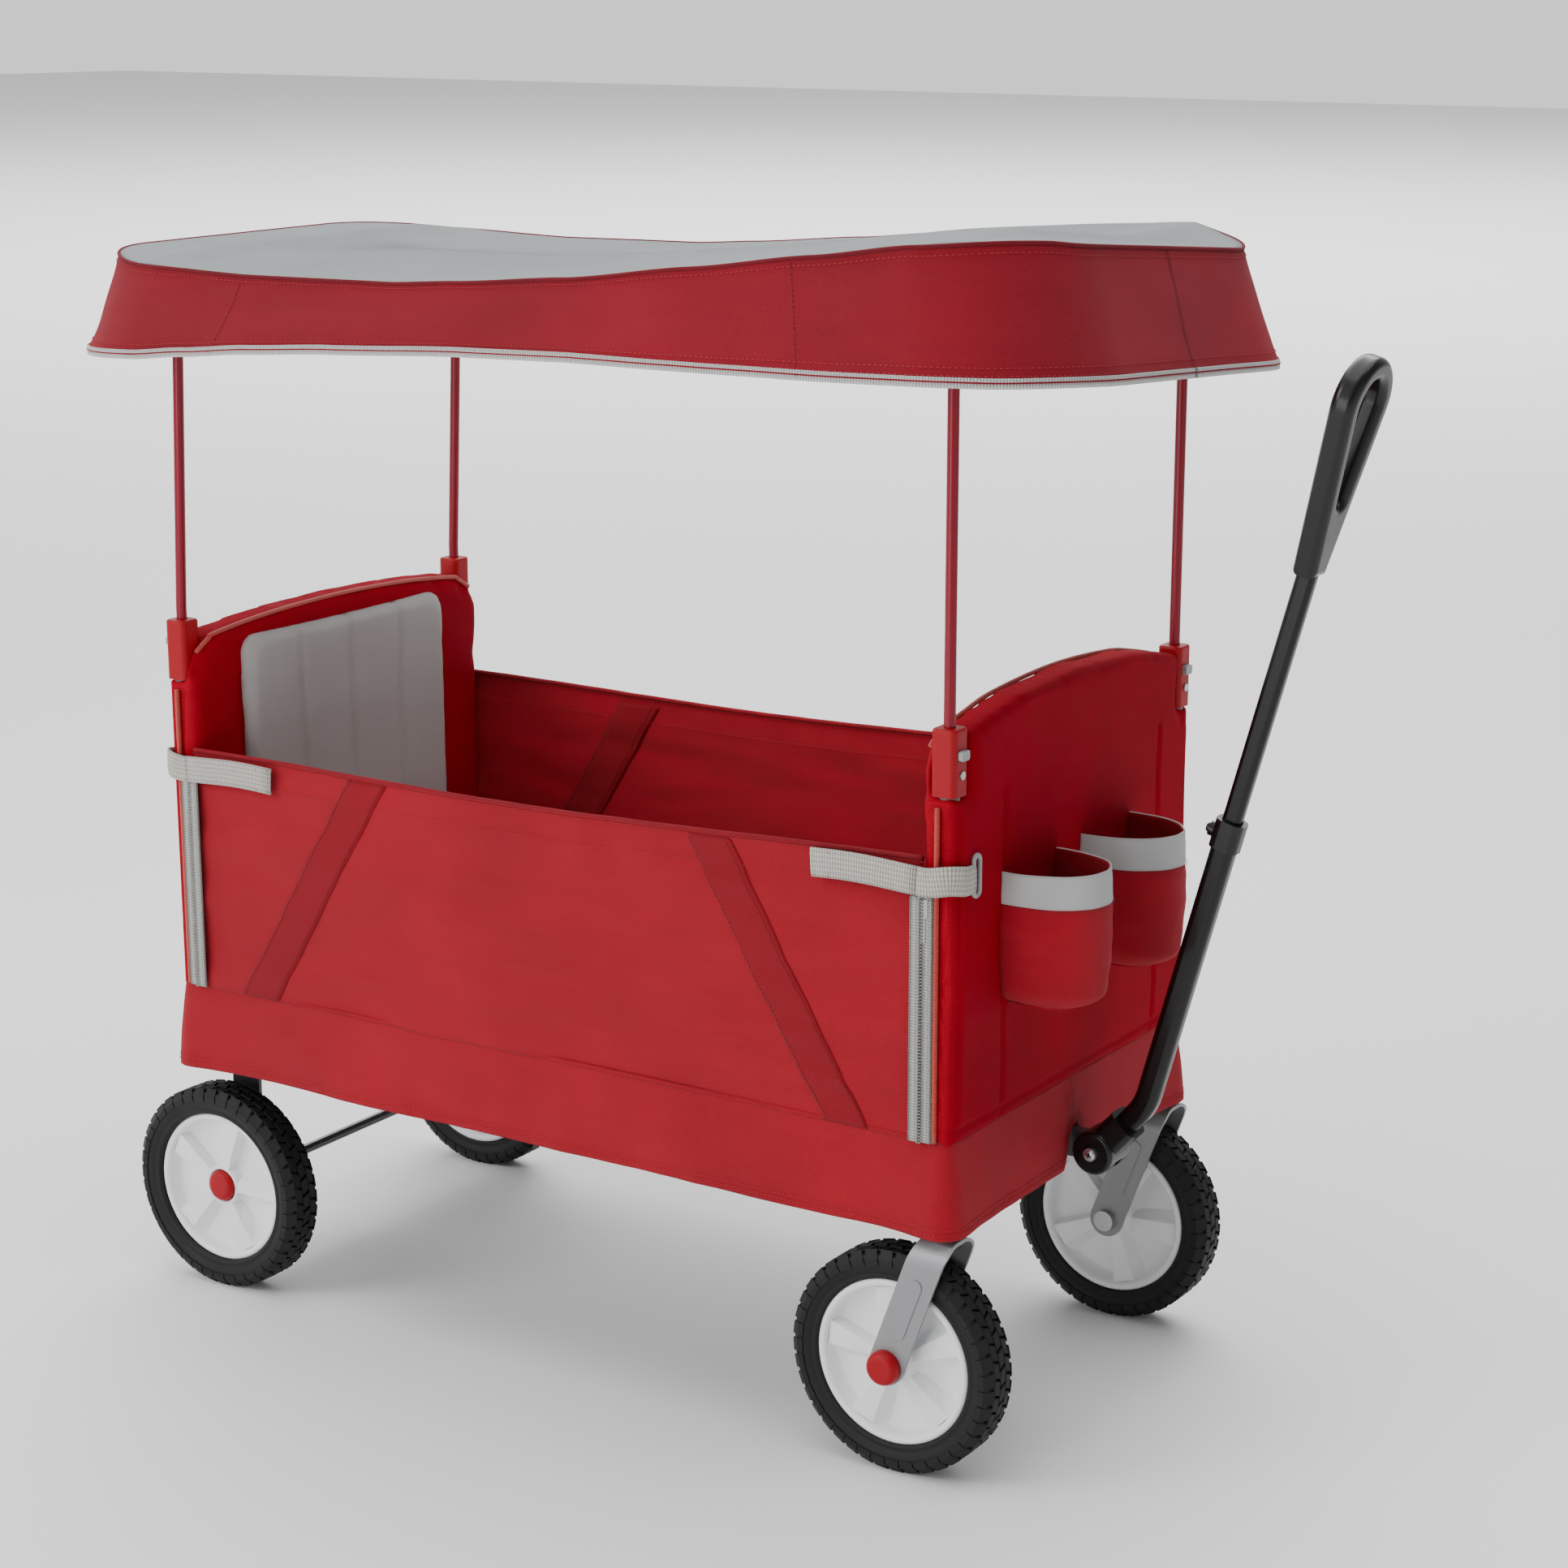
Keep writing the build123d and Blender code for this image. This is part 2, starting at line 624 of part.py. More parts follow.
hub = rod_y(handle_pivot_x, handle_pivot_z, -handle_hub_width / 2, handle_hub_width / 2, hub_radius)
hub = fillet(hub.edges().filter_by(GeomType.CIRCLE), hub_edge)
hub += extrude(across(pivot + neck_way * socket_base, neck_way)
               * RectangleRounded(socket_width, socket_width, 2 * hub_edge), socket_length)
hub -= rod_y(handle_pivot_x, handle_pivot_z, -tongue_half - gap, tongue_half + gap, tongue_radius + slot_room)
slot_box = block(handle_pivot_x - 60, handle_pivot_x, -tongue_half - gap, tongue_half + gap,
                 handle_pivot_z - 60, handle_pivot_z + tongue_radius + slot_room)
hub -= slot_box
hub -= block(handle_pivot_x, handle_pivot_x + 60, -tongue_half - gap, tongue_half + gap,
             handle_pivot_z - 60, handle_pivot_z - hub_slot_low)
hub -= rod_y(handle_pivot_x, handle_pivot_z, -handle_hub_width, handle_hub_width, bolt_radius)
hub -= extrude(across(socket_start, neck_way) * section(lower_tube_wide, lower_tube_deep), 60.0)
parts["handle_hub"] = hub

bolt_half = handle_hub_width / 2
bolt = rod_y(handle_pivot_x, handle_pivot_z, -bolt_half - 1, bolt_half + 1, bolt_radius)
for sign in (-1, 1):
    bolt += rod_y(handle_pivot_x, handle_pivot_z, sign * bolt_half, sign * (bolt_half + 3), 6.0)
parts["handle_pivot_bolt"] = bolt

path = FilletPolyline(socket_start, elbow, collar_top, radius=handle_bend)
lower = sweep(across(socket_start, neck_way) * section(lower_tube_wide, lower_tube_deep), path=path)
inner_wide = lower_tube_wide - 2 * handle_tube_wall
inner_deep = lower_tube_deep - 2 * handle_tube_wall
bore_start = elbow + along * 16.0
lower -= extrude(across(bore_start, along) * section(inner_wide, inner_deep), lower_tube_length)
parts["handle_lower_tube"] = lower

collar_start = collar_top - along * (collar_length - collar_lip)
collar = extrude(across(collar_start, along) * section(lower_tube_wide + 2 * collar_wall,
                                                       lower_tube_deep + 2 * collar_wall), collar_length)
collar -= extrude(across(collar_start, along) * section(lower_tube_wide, lower_tube_deep), collar_length - collar_lip)
collar -= extrude(across(collar_start, along) * section(inner_wide, inner_deep), collar_length + 5)
button_place = collar_start + along * button_height
rearward = Vector(-math.cos(lean), 0, math.sin(lean))
boss_plane = Plane(origin=button_place + rearward * (lower_tube_deep / 2 + gap), x_dir=(0, 1, 0), z_dir=rearward)
collar += extrude(boss_plane * Circle(boss_radius), boss_depth)
collar -= extrude(boss_plane * Pos(0, 0, button_floor) * Circle(button_radius + gap), 2 * boss_depth)
parts["handle_collar"] = collar
button_base = button_floor + button_travel + gap
button = extrude(boss_plane * Pos(0, 0, button_base) * Circle(button_radius), button_length)
button = fillet(button.edges().filter_by(GeomType.CIRCLE), 1.2)
parts["handle_lock_button"] = button

upper_start = collar_top - along * upper_tube_inside
grip_base = collar_top + along * upper_tube_shown
upper_length = upper_tube_inside + upper_tube_shown + grip_socket
upper = extrude(across(upper_start, along) * section(upper_wide, upper_deep), upper_length)
wall_cut = section(upper_wide - 2 * handle_tube_wall, upper_deep - 2 * handle_tube_wall)
upper -= extrude(across(upper_start, along) * wall_cut, upper_length)
parts["handle_upper_tube"] = upper

loop_radius = grip_width / 2
loop_centre = grip_length - loop_radius
neck_half = grip_neck / 2
outer_shape = make_hull((Pos(0, loop_centre) * Circle(loop_radius)).edges()
                        + (Pos(0, 22.0) * Rectangle(grip_neck, 44.0)).edges())
opening_wide = grip_width - 2 * grip_finger_wall
opening = make_hull((Pos(0, loop_centre) * Circle(opening_wide / 2)).edges()
                    + (Pos(0, 70.0) * Circle(7.0)).edges())
grip_shape = outer_shape - opening
grip_plane = Plane(origin=grip_base, x_dir=(0, 1, 0), z_dir=(math.cos(lean), 0, -math.sin(lean)))
for name, way in (("front", 1), ("rear", -1)):
    half = extrude(grip_shape, way * grip_depth / 2)
    outside = half.faces().sort_by(Axis.Z)[-1] if way > 0 else half.faces().sort_by(Axis.Z)[0]
    half = fillet(outside.edges(), grip_edge)
    half = grip_plane * half
    half -= extrude(across(grip_base, along) * section(upper_wide, upper_deep), grip_socket)
    parts[f"grip_{name}_half"] = half

# ---- Cup pockets on the front panel ----
pocket_radius = pocket_width / 2
pocket_straight = pocket_depth - pocket_radius


def pocket_outline(shrink):
    """The pocket's plan: straight sides from the panel and a round front."""
    radius = pocket_radius - shrink
    plan = Pos(pocket_straight / 2, 0) * Rectangle(pocket_straight, 2 * radius)
    return plan + Pos(pocket_straight, 0) * Circle(radius) - Pos(-50, 0) * Rectangle(100, 2 * pocket_width)


pockets = []
for y in pocket_places:
    height = pocket_top - pocket_bottom
    pocket = extrude(pocket_outline(0), height)
    pocket -= Pos(0, 0, pocket_fabric) * extrude(pocket_outline(pocket_fabric), height)
    pockets.append(Pos(skin_x, y, pocket_bottom) * pocket)
parts["cup_pockets"] = group(pockets)

# ---- Canopy ----
hem_tilt = math.degrees(math.atan2(canopy_hem_front_z - canopy_hem_rear_z, canopy_hem_length))
edge_tilt = math.degrees(math.atan2(canopy_edge_front_z - canopy_edge_rear_z, canopy_edge_length))
hem_middle_z = (canopy_hem_front_z + canopy_hem_rear_z) / 2
edge_middle_z = (canopy_edge_front_z + canopy_edge_rear_z) / 2
hem_place = Pos(canopy_centre_x, 0, hem_middle_z) * Rot(0, -hem_tilt, 0)
edge_place = Pos(canopy_centre_x, 0, edge_middle_z) * Rot(0, -edge_tilt, 0)


def canopy_form(shrink):
    """The canopy's outer form: a flared skirt from the hem to the top edge, and a crowned top."""
    hem = RectangleRounded(canopy_hem_length - 2 * shrink, canopy_hem_width - 2 * shrink,
                           canopy_hem_corner - shrink)
    edge = RectangleRounded(canopy_edge_length - 2 * shrink, canopy_edge_width - 2 * shrink,
                            canopy_edge_corner - shrink)
    crown = RectangleRounded(canopy_edge_length * crown_share - 2 * shrink,
                             canopy_edge_width * crown_share - 2 * shrink,
                             canopy_edge_corner * crown_share - shrink)
    below = 1.0 if shrink else 0.0
    return loft([hem_place * Pos(0, 0, -below) * hem,
                 edge_place * Pos(0, 0, -0.3 * shrink) * edge,
                 edge_place * Pos(0, 0, canopy_crown - shrink) * crown], ruled=True)


crown_share = 0.55
cover = canopy_form(0) - canopy_form(canopy_fabric)
parts["canopy_cover"] = cover

hoop_wall = 4.0
hoop_tall = 8.0
hoop_inset = canopy_fabric + 5.0
ring = extrude(RectangleRounded(canopy_hem_length - 2 * hoop_inset, canopy_hem_width - 2 * hoop_inset,
                                canopy_hem_corner - hoop_inset), hoop_tall)
ring -= extrude(RectangleRounded(canopy_hem_length - 2 * (hoop_inset + hoop_wall),
                                 canopy_hem_width - 2 * (hoop_inset + hoop_wall),
                                 canopy_hem_corner - hoop_inset - hoop_wall), hoop_tall)
parts["canopy_hem_hoop"] = hem_place * ring


def canopy_bow(direction):
    """Two poles and the bar between them, bent from one tube."""
    x = direction * post_x
    top = edge_middle_z - bow_drop + (x - canopy_centre_x) * math.tan(math.radians(edge_tilt))
    low = pole_seat + 1.0
    knee = holder_top + 12.0
    lean_in = rear_bow_lean if direction < 0 else 0.0
    half = [(x, post_y, low), (x, post_y, knee), (x + lean_in, post_y, top)] if lean_in else \
        [(x, post_y, low), (x, post_y, top)]
    mirrored = [(spot[0], -spot[1], spot[2]) for spot in half]
    route = FilletPolyline(*mirrored, *reversed(half), radius=bow_radius)
    ring_section = Circle(pole_radius) - Circle(pole_radius - 1.0)
    return sweep(Plane(origin=(x, -post_y, low), z_dir=(0, 0, 1)) * ring_section, path=route)


for end, direction in ENDS:
    parts[f"{end}_canopy_bow"] = canopy_bow(direction)

# ---- Place the origin below the middle of the overall length, and write the parts ----
lows = [part.bounding_box().min.X for part in parts.values()]
highs = [part.bounding_box().max.X for part in parts.values()]
origin_shift = -(min(lows) + max(highs)) / 2
os.makedirs("parts", exist_ok=True)
for name, part in parts.items():
    export_step(Pos(origin_shift, 0, 0) * part, f"parts/{name}.step")
print("nodes", len(parts), "origin_shift", round(origin_shift, 3))
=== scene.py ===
import math

import bpy
import bmesh
import numpy as np
from mathutils import Matrix, Vector, noise


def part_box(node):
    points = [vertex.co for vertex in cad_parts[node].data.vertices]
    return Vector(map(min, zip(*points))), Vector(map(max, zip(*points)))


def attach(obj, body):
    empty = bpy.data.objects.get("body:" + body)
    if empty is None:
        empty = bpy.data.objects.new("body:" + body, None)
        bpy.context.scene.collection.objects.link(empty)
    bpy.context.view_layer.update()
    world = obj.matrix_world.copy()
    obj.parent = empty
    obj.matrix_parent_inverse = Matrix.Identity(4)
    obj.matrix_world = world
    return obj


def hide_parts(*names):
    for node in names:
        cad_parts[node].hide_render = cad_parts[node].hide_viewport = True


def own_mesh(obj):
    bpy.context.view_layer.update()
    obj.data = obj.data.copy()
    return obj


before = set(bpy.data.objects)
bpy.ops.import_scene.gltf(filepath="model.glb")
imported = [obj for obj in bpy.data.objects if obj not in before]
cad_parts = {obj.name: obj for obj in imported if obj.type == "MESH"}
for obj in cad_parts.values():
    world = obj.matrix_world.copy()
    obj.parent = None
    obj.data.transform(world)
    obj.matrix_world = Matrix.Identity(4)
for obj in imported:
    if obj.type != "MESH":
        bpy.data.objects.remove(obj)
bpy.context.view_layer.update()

rear_low, rear_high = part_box("rear_hoop")
front_low, front_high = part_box("front_hoop")
middle_x = (rear_low.x + rear_high.x + front_low.x + front_high.x) / 4
post_x = (front_low.x + front_high.x) / 2 - middle_x


# ---- Shader helpers ----
class Wire:
    """A number in a shader, so that shader maths reads as plain arithmetic."""

    def __init__(self, tree, socket):
        self.tree = tree
        self.socket = socket

    def join(self, operation, first, second=None):
        node = self.tree.nodes.new("ShaderNodeMath")
        node.operation = operation
        for index, value in enumerate((first, second)):
            if isinstance(value, Wire):
                self.tree.links.new(value.socket, node.inputs[index])
            elif value is not None:
                node.inputs[index].default_value = value
        return Wire(self.tree, node.outputs[0])

    def __add__(self, other):
        return self.join("ADD", self, other)

    __radd__ = __add__

    def __sub__(self, other):
        return self.join("SUBTRACT", self, other)

    def __rsub__(self, other):
        return self.join("SUBTRACT", other, self)

    def __mul__(self, other):
        return self.join("MULTIPLY", self, other)

    __rmul__ = __mul__

    def __truediv__(self, other):
        return self.join("DIVIDE", self, other)

    def __rtruediv__(self, other):
        return self.join("DIVIDE", other, self)

    def sine(self):
        return self.join("SINE", self)

    def size(self):
        return self.join("ABSOLUTE", self)

    def power(self, other):
        return self.join("POWER", self, other)

    def above(self, other):
        return self.join("GREATER_THAN", self, other)

    def remainder(self, other):
        return self.join("FLOORED_MODULO", self, other)


class Finish:
    """A procedural material with its principled shader."""

    def __init__(self, name, roughness=0.5, **constants):
        self.material = bpy.data.materials.new(name)
        self.material.use_nodes = True
        self.tree = self.material.node_tree
        self.shader = self.tree.nodes["Principled BSDF"]
        self.shader.inputs["Roughness"].default_value = roughness
        for socket, value in constants.items():
            self.shader.inputs[socket.replace("_", " ")].default_value = value
        self.coordinates = self.tree.nodes.new("ShaderNodeTexCoord")

    def node(self, kind, links=(), **properties):
        """Adds any node: links are (input, value) pairs, the rest are its settings."""
        made = self.tree.nodes.new(kind)
        for key, value in properties.items():
            setattr(made, key, value)
        for socket, value in links:
            if isinstance(value, Wire):
                self.tree.links.new(value.socket, made.inputs[socket])
            elif isinstance(value, bpy.types.NodeSocket):
                self.tree.links.new(value, made.inputs[socket])
            else:
                made.inputs[socket].default_value = value
        return made

    def axes(self, space="Object"):
        """The three coordinates of the point, in metres."""
        split = self.node("ShaderNodeSeparateXYZ", [("Vector", self.coordinates.outputs[space])])
        return [Wire(self.tree, output) for output in split.outputs]

    def noise(self, scale, detail=2.0, stretch=(1, 1, 1), space="Object"):
        """Smooth noise from 0 to 1; stretch is how much faster it changes along each axis."""
        vector = self.node("ShaderNodeMapping", [("Vector", self.coordinates.outputs[space]), ("Scale", stretch)])
        made = self.node("ShaderNodeTexNoise", [("Vector", vector.outputs[0]), ("Scale", scale), ("Detail", detail)])
        return Wire(self.tree, made.outputs["Fac"])

    def mix(self, share, first, second):
        """A colour between two colours."""
        links = [("Factor", share)]
        made = self.node("ShaderNodeMix", links, data_type="RGBA")
        for index, value in ((6, first), (7, second)):
            if isinstance(value, bpy.types.NodeSocket):
                self.tree.links.new(value, made.inputs[index])
            else:
                made.inputs[index].default_value = (*value, 1.0)
        return made.outputs[2]

    def colour(self, value):
        self.tree.links.new(value, self.shader.inputs["Base Color"])

    def rough(self, value):
        self.tree.links.new(value.socket, self.shader.inputs["Roughness"])

    def bump(self, height, distance, strength=1.0):
        made = self.node("ShaderNodeBump", [("Height", height), ("Distance", distance), ("Strength", strength)])
        self.tree.links.new(made.outputs[0], self.shader.inputs["Normal"])


def fabric(name, colour, shade=0.72, weave=0.0011, crease=0.0011, roughness=0.78, sheen=0.05, gloss=0.16):
    """A woven polyester cloth: crossing yarns, broad patches of painted sheen and shade, and soft creases."""
    cloth = Finish(name, roughness, Sheen_Weight=sheen, Sheen_Roughness=0.5, Specular_IOR_Level=gloss)
    across, along, _ = cloth.axes("UV")
    turn = 2 * math.pi / weave
    yarns = (across * turn).sine() * (along * turn).sine()
    patches = cloth.noise(7.0, 3.0)
    specks = cloth.noise(900.0, 1.0)
    slubs = cloth.noise(70.0, 2.0, (0.15, 1.0, 1.0), "UV")
    # Painted sheen and shade: the broad patches lighten and darken the cloth's colour to stand in for light on soft
    # wrinkles; specks, slubs and yarns are the weave.
    share = (patches - 0.5) * 1.1 + specks * 0.25 + slubs * 0.25 + yarns * 0.06 + 0.25
    darker = tuple(part * shade for part in colour)
    lighter = tuple(min(1.0, part * (2 - shade)) for part in colour)
    cloth.colour(cloth.mix(share, darker, lighter))
    cloth.rough(patches * 0.16 + (roughness - 0.08))
    creases = cloth.noise(9.0, 3.0, (0.55, 1.9, 1.9), "UV")
    cloth.bump(yarns * (0.00009 / crease) + creases + specks * 0.03, crease * 3.6, 0.8)
    return cloth.material


def moulded(name, colour, roughness=0.35, bump=0.00008, coat=0.0, grain=420.0, wear=0.12, gloss=0.5):
    """A moulded plastic with a fine grain and faint handling marks."""
    body = Finish(name, roughness, Coat_Weight=coat, Coat_Roughness=0.12, Specular_IOR_Level=gloss)
    patches = body.noise(18.0, 4.0)
    specks = body.noise(grain, 2.0)
    darker = tuple(part * (1 - wear) for part in colour)
    body.colour(body.mix(patches * 0.7 + specks * 0.3, darker, colour))
    body.rough(patches * 0.18 + (roughness - 0.07))
    body.bump(specks, bump, 0.5)
    return body.material


def metal(name, colour, roughness=0.35, metallic=0.0, coat=0.0, grain=260.0, gloss=0.5):
    """A painted, plated or bare metal with orange peel and fine rubbed streaks."""
    body = Finish(name, roughness, Metallic=metallic, Coat_Weight=coat, Coat_Roughness=0.06,
                  Specular_IOR_Level=gloss)
    peel = body.noise(grain, 2.0)
    streaks = body.noise(60.0, 3.0, (1.0, 1.0, 0.06))
    darker = tuple(part * 0.84 for part in colour)
    body.colour(body.mix(streaks, darker, colour))
    body.rough(streaks * 0.2 + (roughness - 0.08))
    body.bump(peel, 0.00005, 0.45)
    return body.material


def webbing(name, colour):
    """A ribbed woven tape; its UV runs along its length."""
    tape = Finish(name, 0.8, Sheen_Weight=0.2, Specular_IOR_Level=0.3)
    along, across, _ = tape.axes("UV")
    ribs = (along * (2 * math.pi / 0.0026)).sine()
    cords = (across * (2 * math.pi / 0.0042)).sine()
    fluff = tape.noise(500.0, 2.0)
    share = ribs * 0.34 + cords * 0.24 + fluff * 0.3 + 0.36
    darker = tuple(part * 0.5 for part in colour)
    tape.colour(tape.mix(share, darker, colour))
    tape.rough(fluff * 0.2 + 0.7)
    tape.bump(ribs * 0.5 + cords * 0.4 + fluff * 0.3, 0.0009, 0.9)
    return tape.material


def rubber(name, colour):
    """A black tyre rubber with a dusty bloom."""
    body = Finish(name, 0.62, Specular_IOR_Level=0.3)
    dust = body.noise(30.0, 5.0)
    specks = body.noise(700.0, 2.0)
    body.colour(body.mix((dust - 0.45) * 0.9 * specks, colour, tuple(part * 2.4 + 0.004 for part in colour)))
    body.rough(dust * 0.25 + 0.5)
    body.bump(specks, 0.00015, 0.5)
    return body.material


def corded(name, colour):
    """A piping whose cord shows as fine slanting ribs; its UV runs along its length."""
    cord = Finish(name, 0.55, Sheen_Weight=0.2)
    along, around, _ = cord.axes("UV")
    ribs = ((along * (1 / 0.0017) + around * 2.0) * (2 * math.pi)).sine()
    fluff = cord.noise(400.0, 2.0)
    cord.colour(cord.mix(ribs * 0.35 + fluff * 0.3 + 0.3, tuple(part * 0.55 for part in colour), colour))
    cord.rough(fluff * 0.2 + 0.45)
    cord.bump(ribs, 0.0004, 0.7)
    return cord.material


red_cloth = fabric("red cloth", (0.365, 0.0045, 0.0165))
front_cloth = fabric("end panel cloth", (0.345, 0.0018, 0.0140), sheen=0.0, gloss=0.06)
canopy_cloth = fabric("canopy skirt cloth", (0.262, 0.0048, 0.0165), crease=0.0016)
grey_cloth = fabric("canopy top cloth", (0.300, 0.322, 0.332), shade=0.9, crease=0.0013, roughness=0.85)
pad_cloth = fabric("back pad cloth", (0.420, 0.415, 0.405), shade=0.88)
mat_cloth = fabric("floor mat cloth", (0.310, 0.0045, 0.0110))
band_cloth = fabric("side band cloth", (0.275, 0.0032, 0.0120), shade=0.8)
pocket_band_cloth = fabric("pocket band cloth", (0.52, 0.53, 0.53), shade=0.9)
strap_weave = webbing("strap webbing", (0.600, 0.565, 0.510))
zip_weave = webbing("zip tape", (0.470, 0.470, 0.440))
hem_weave = webbing("canopy hem tape", (0.66, 0.66, 0.65))
piping_cord = corded("orange red piping", (0.62, 0.035, 0.015))
thread = moulded("red thread", (0.36, 0.010, 0.018), 0.7)
dark_thread = moulded("dark red thread", (0.17, 0.006, 0.012), 0.7)
tyre_rubber = rubber("tyre rubber", (0.0055, 0.0055, 0.0058))
rim_white = moulded("white rim plastic", (0.83, 0.84, 0.85), 0.34, wear=0.06)
zip_teeth = metal("zip teeth", (0.27, 0.27, 0.255), 0.4, 0.35)

slot_finish = {
    "frame_steel": metal("black frame tube", (0.035, 0.035, 0.038), 0.34, coat=0.3),
    "fork_steel": metal("grey fork paint", (0.270, 0.275, 0.285), 0.42, 0.35, 0.15),
    "pole_steel": metal("glossy red pole", (0.240, 0.0020, 0.0160), 0.24, coat=0.15, gloss=0.25),
    "red_plastic": moulded("red plastic", (0.330, 0.0025, 0.0090), 0.42, gloss=0.2),
    "grey_plastic": moulded("grey plastic", (0.330, 0.340, 0.350), 0.45),
    "board_plastic": moulded("floor board", (0.030, 0.030, 0.032), 0.6),
    "black_plastic": moulded("black plastic", (0.0055, 0.0052, 0.0050), 0.28, coat=0.1, gloss=0.3),
    "handle_steel": metal("glossy black tube", (0.0040, 0.0038, 0.0036), 0.22, coat=0.1, gloss=0.25),
    "zinc_steel": metal("zinc plated steel", (0.55, 0.55, 0.56), 0.3, 0.9),
    "zip_metal": metal("zip slider metal", (0.40, 0.40, 0.39), 0.35, 0.7),
    "hem_wire": metal("hem wire", (0.25, 0.25, 0.26), 0.4, 0.5),
}
for cad_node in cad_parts.values():
    for holder in cad_node.material_slots:
        for slot_name, finish in slot_finish.items():
            if holder.material and slot_name in holder.material.name:
                holder.material = finish
                break


# ---- Mesh helpers ----
def mesh_object(name, points, faces, material, uvs=None, shift=True):
    """A mesh from points laid out about the wagon's middle; uvs are one pair for each point."""
    name = name.replace(" ", "_")
    data = bpy.data.meshes.new(name)
    moved = [(x + middle_x, y, z) if shift else (x, y, z) for x, y, z in points]
    data.from_pydata(moved, [], faces)
    if uvs is not None:
        layer = data.uv_layers.new(name="UVMap")
        for loop in data.loops:
            layer.data[loop.index].uv = uvs[loop.vertex_index]
    data.materials.append(material)
    data.polygons.foreach_set("use_smooth", [True] * len(data.polygons))
    made = bpy.data.objects.new(name, data)
    bpy.context.collection.objects.link(made)
    return made


def settle(piece):
    """Turns the piece's modifiers into its mesh."""
    depsgraph = bpy.context.evaluated_depsgraph_get()
    final = bpy.data.meshes.new_from_object(piece.evaluated_get(depsgraph))
    piece.modifiers.clear()
    old = piece.data
    piece.data = final
    final.name = piece.name
    bpy.data.meshes.remove(old)
    return piece


def sheet_grid(name, across, along, point, material, thick=0.0012, closed=False, size=(1.0, 1.0)):
    """A sheet from a grid of points, with a little thickness; size is its width and length for the weave."""
    points = []
    uvs = []
    columns = across + (0 if closed else 1)
    for row in range(along + 1):
        for column in range(columns):
            u, v = column / across, row / along
            points.append(point(u, v))
            uvs.append((u * size[0], v * size[1]))
    faces = []
    for row in range(along):
        for column in range(across):
            beside = (column + 1) % columns
            faces.append((row * columns + column, row * columns + beside,
                          (row + 1) * columns + beside, (row + 1) * columns + column))
    made = mesh_object(name, points, faces, material, uvs)
    solid = made.modifiers.new("thickness", "SOLIDIFY")
    solid.thickness = thick
    solid.offset = -1.0
    return settle(made)


def ribbon(name, path, wide, outward, thick, material, rows=5):
    """A flat tape along a path: outward gives its facing direction at each point."""
    count = len(path)
    points = []
    uvs = []
    length = 0.0
    for index, spot in enumerate(path):
        ahead = Vector(path[min(index + 1, count - 1)])
        behind = Vector(path[max(index - 1, 0)])
        way = (ahead - behind).normalized()
        out = Vector(outward(index)) if callable(outward) else Vector(outward)
        side = way.cross(out).normalized()
        if index:
            length += (Vector(spot) - Vector(path[index - 1])).length
        for step in range(rows + 1):
            share = step / rows - 0.5
            edge = 1.0 - (2 * abs(share)) ** 6
            spot_out = Vector(spot) + side * (wide * share) + out * (thick * (0.5 + 0.5 * edge))
            points.append(tuple(spot_out))
            uvs.append((length, wide * (share + 0.5)))
    faces = []
    for index in range(count - 1):
        for step in range(rows):
            corner = index * (rows + 1) + step
            faces.append((corner, corner + rows + 1, corner + rows + 2, corner + 1))
    made = mesh_object(name, points, faces, material, uvs)
    solid = made.modifiers.new("thickness", "SOLIDIFY")
    solid.thickness = thick
    solid.offset = 0.0
    return settle(made)


def tube(name, path, radius, material, sides=10, closed=False):
    """A round cord or tube along a path."""
    spots = [Vector(spot) for spot in path]
    count = len(spots)
    points = []
    uvs = []
    length = 0.0
    guide = None
    for index, spot in enumerate(spots):
        if closed:
            way = spots[(index + 1) % count] - spots[index - 1]
        else:
            way = spots[min(index + 1, count - 1)] - spots[max(index - 1, 0)]
        way.normalize()
        if guide is None:
            guide = way.orthogonal().normalized()
        guide = (guide - way * guide.dot(way)).normalized()
        other = way.cross(guide)
        if index:
            length += (spot - spots[index - 1]).length
        for step in range(sides):
            turn = 2 * math.pi * step / sides
            points.append(tuple(spot + guide * (radius * math.cos(turn)) + other * (radius * math.sin(turn))))
            uvs.append((length, step / sides))
    faces = []
    for index in range(count if closed else count - 1):
        after = (index + 1) % count
        for step in range(sides):
            beside = (step + 1) % sides
            faces.append((index * sides + step, index * sides + beside, after * sides + beside, after * sides + step))
    if not closed:
        faces.append(tuple(range(sides - 1, -1, -1)))
        faces.append(tuple(range((count - 1) * sides, count * sides)))
    return mesh_object(name, points, faces, material, uvs)


def lathe(profile, segments, wobble=None):
    """Points and faces of a shape turned about Y: the profile is (radius, y) pairs, outwards from the inside."""
    points = []
    faces = []
    rows = len(profile)
    for segment in range(segments):
        turn = 2 * math.pi * segment / segments
        for radius, y in profile:
            points.append((radius * math.cos(turn), y, radius * math.sin(turn)))
    for segment in range(segments):
        after = (segment + 1) % segments
        for row in range(rows - 1):
            faces.append((segment * rows + row, segment * rows + row + 1, after * rows + row + 1, after * rows + row))
    return points, faces


def smooth_path(spots, steps=10):
    """A smooth path through the spots."""
    spots = [Vector(spot) for spot in spots]
    made = []
    for index in range(len(spots) - 1):
        before = spots[max(index - 1, 0)]
        start, end = spots[index], spots[index + 1]
        after = spots[min(index + 2, len(spots) - 1)]
        for step in range(steps):
            t = step / steps
            made.append(0.5 * ((2 * start) + (end - before) * t
                               + (2 * before - 5 * start + 4 * end - after) * t * t
                               + (3 * start - before - 3 * end + after) * t ** 3))
    made.append(spots[-1])
    return made


def ripple(x, y, z, seed=0.0):
    """Smooth noise from about -1 to 1."""
    return noise.noise(Vector((x + seed, y + seed * 0.7, z - seed * 1.3)))


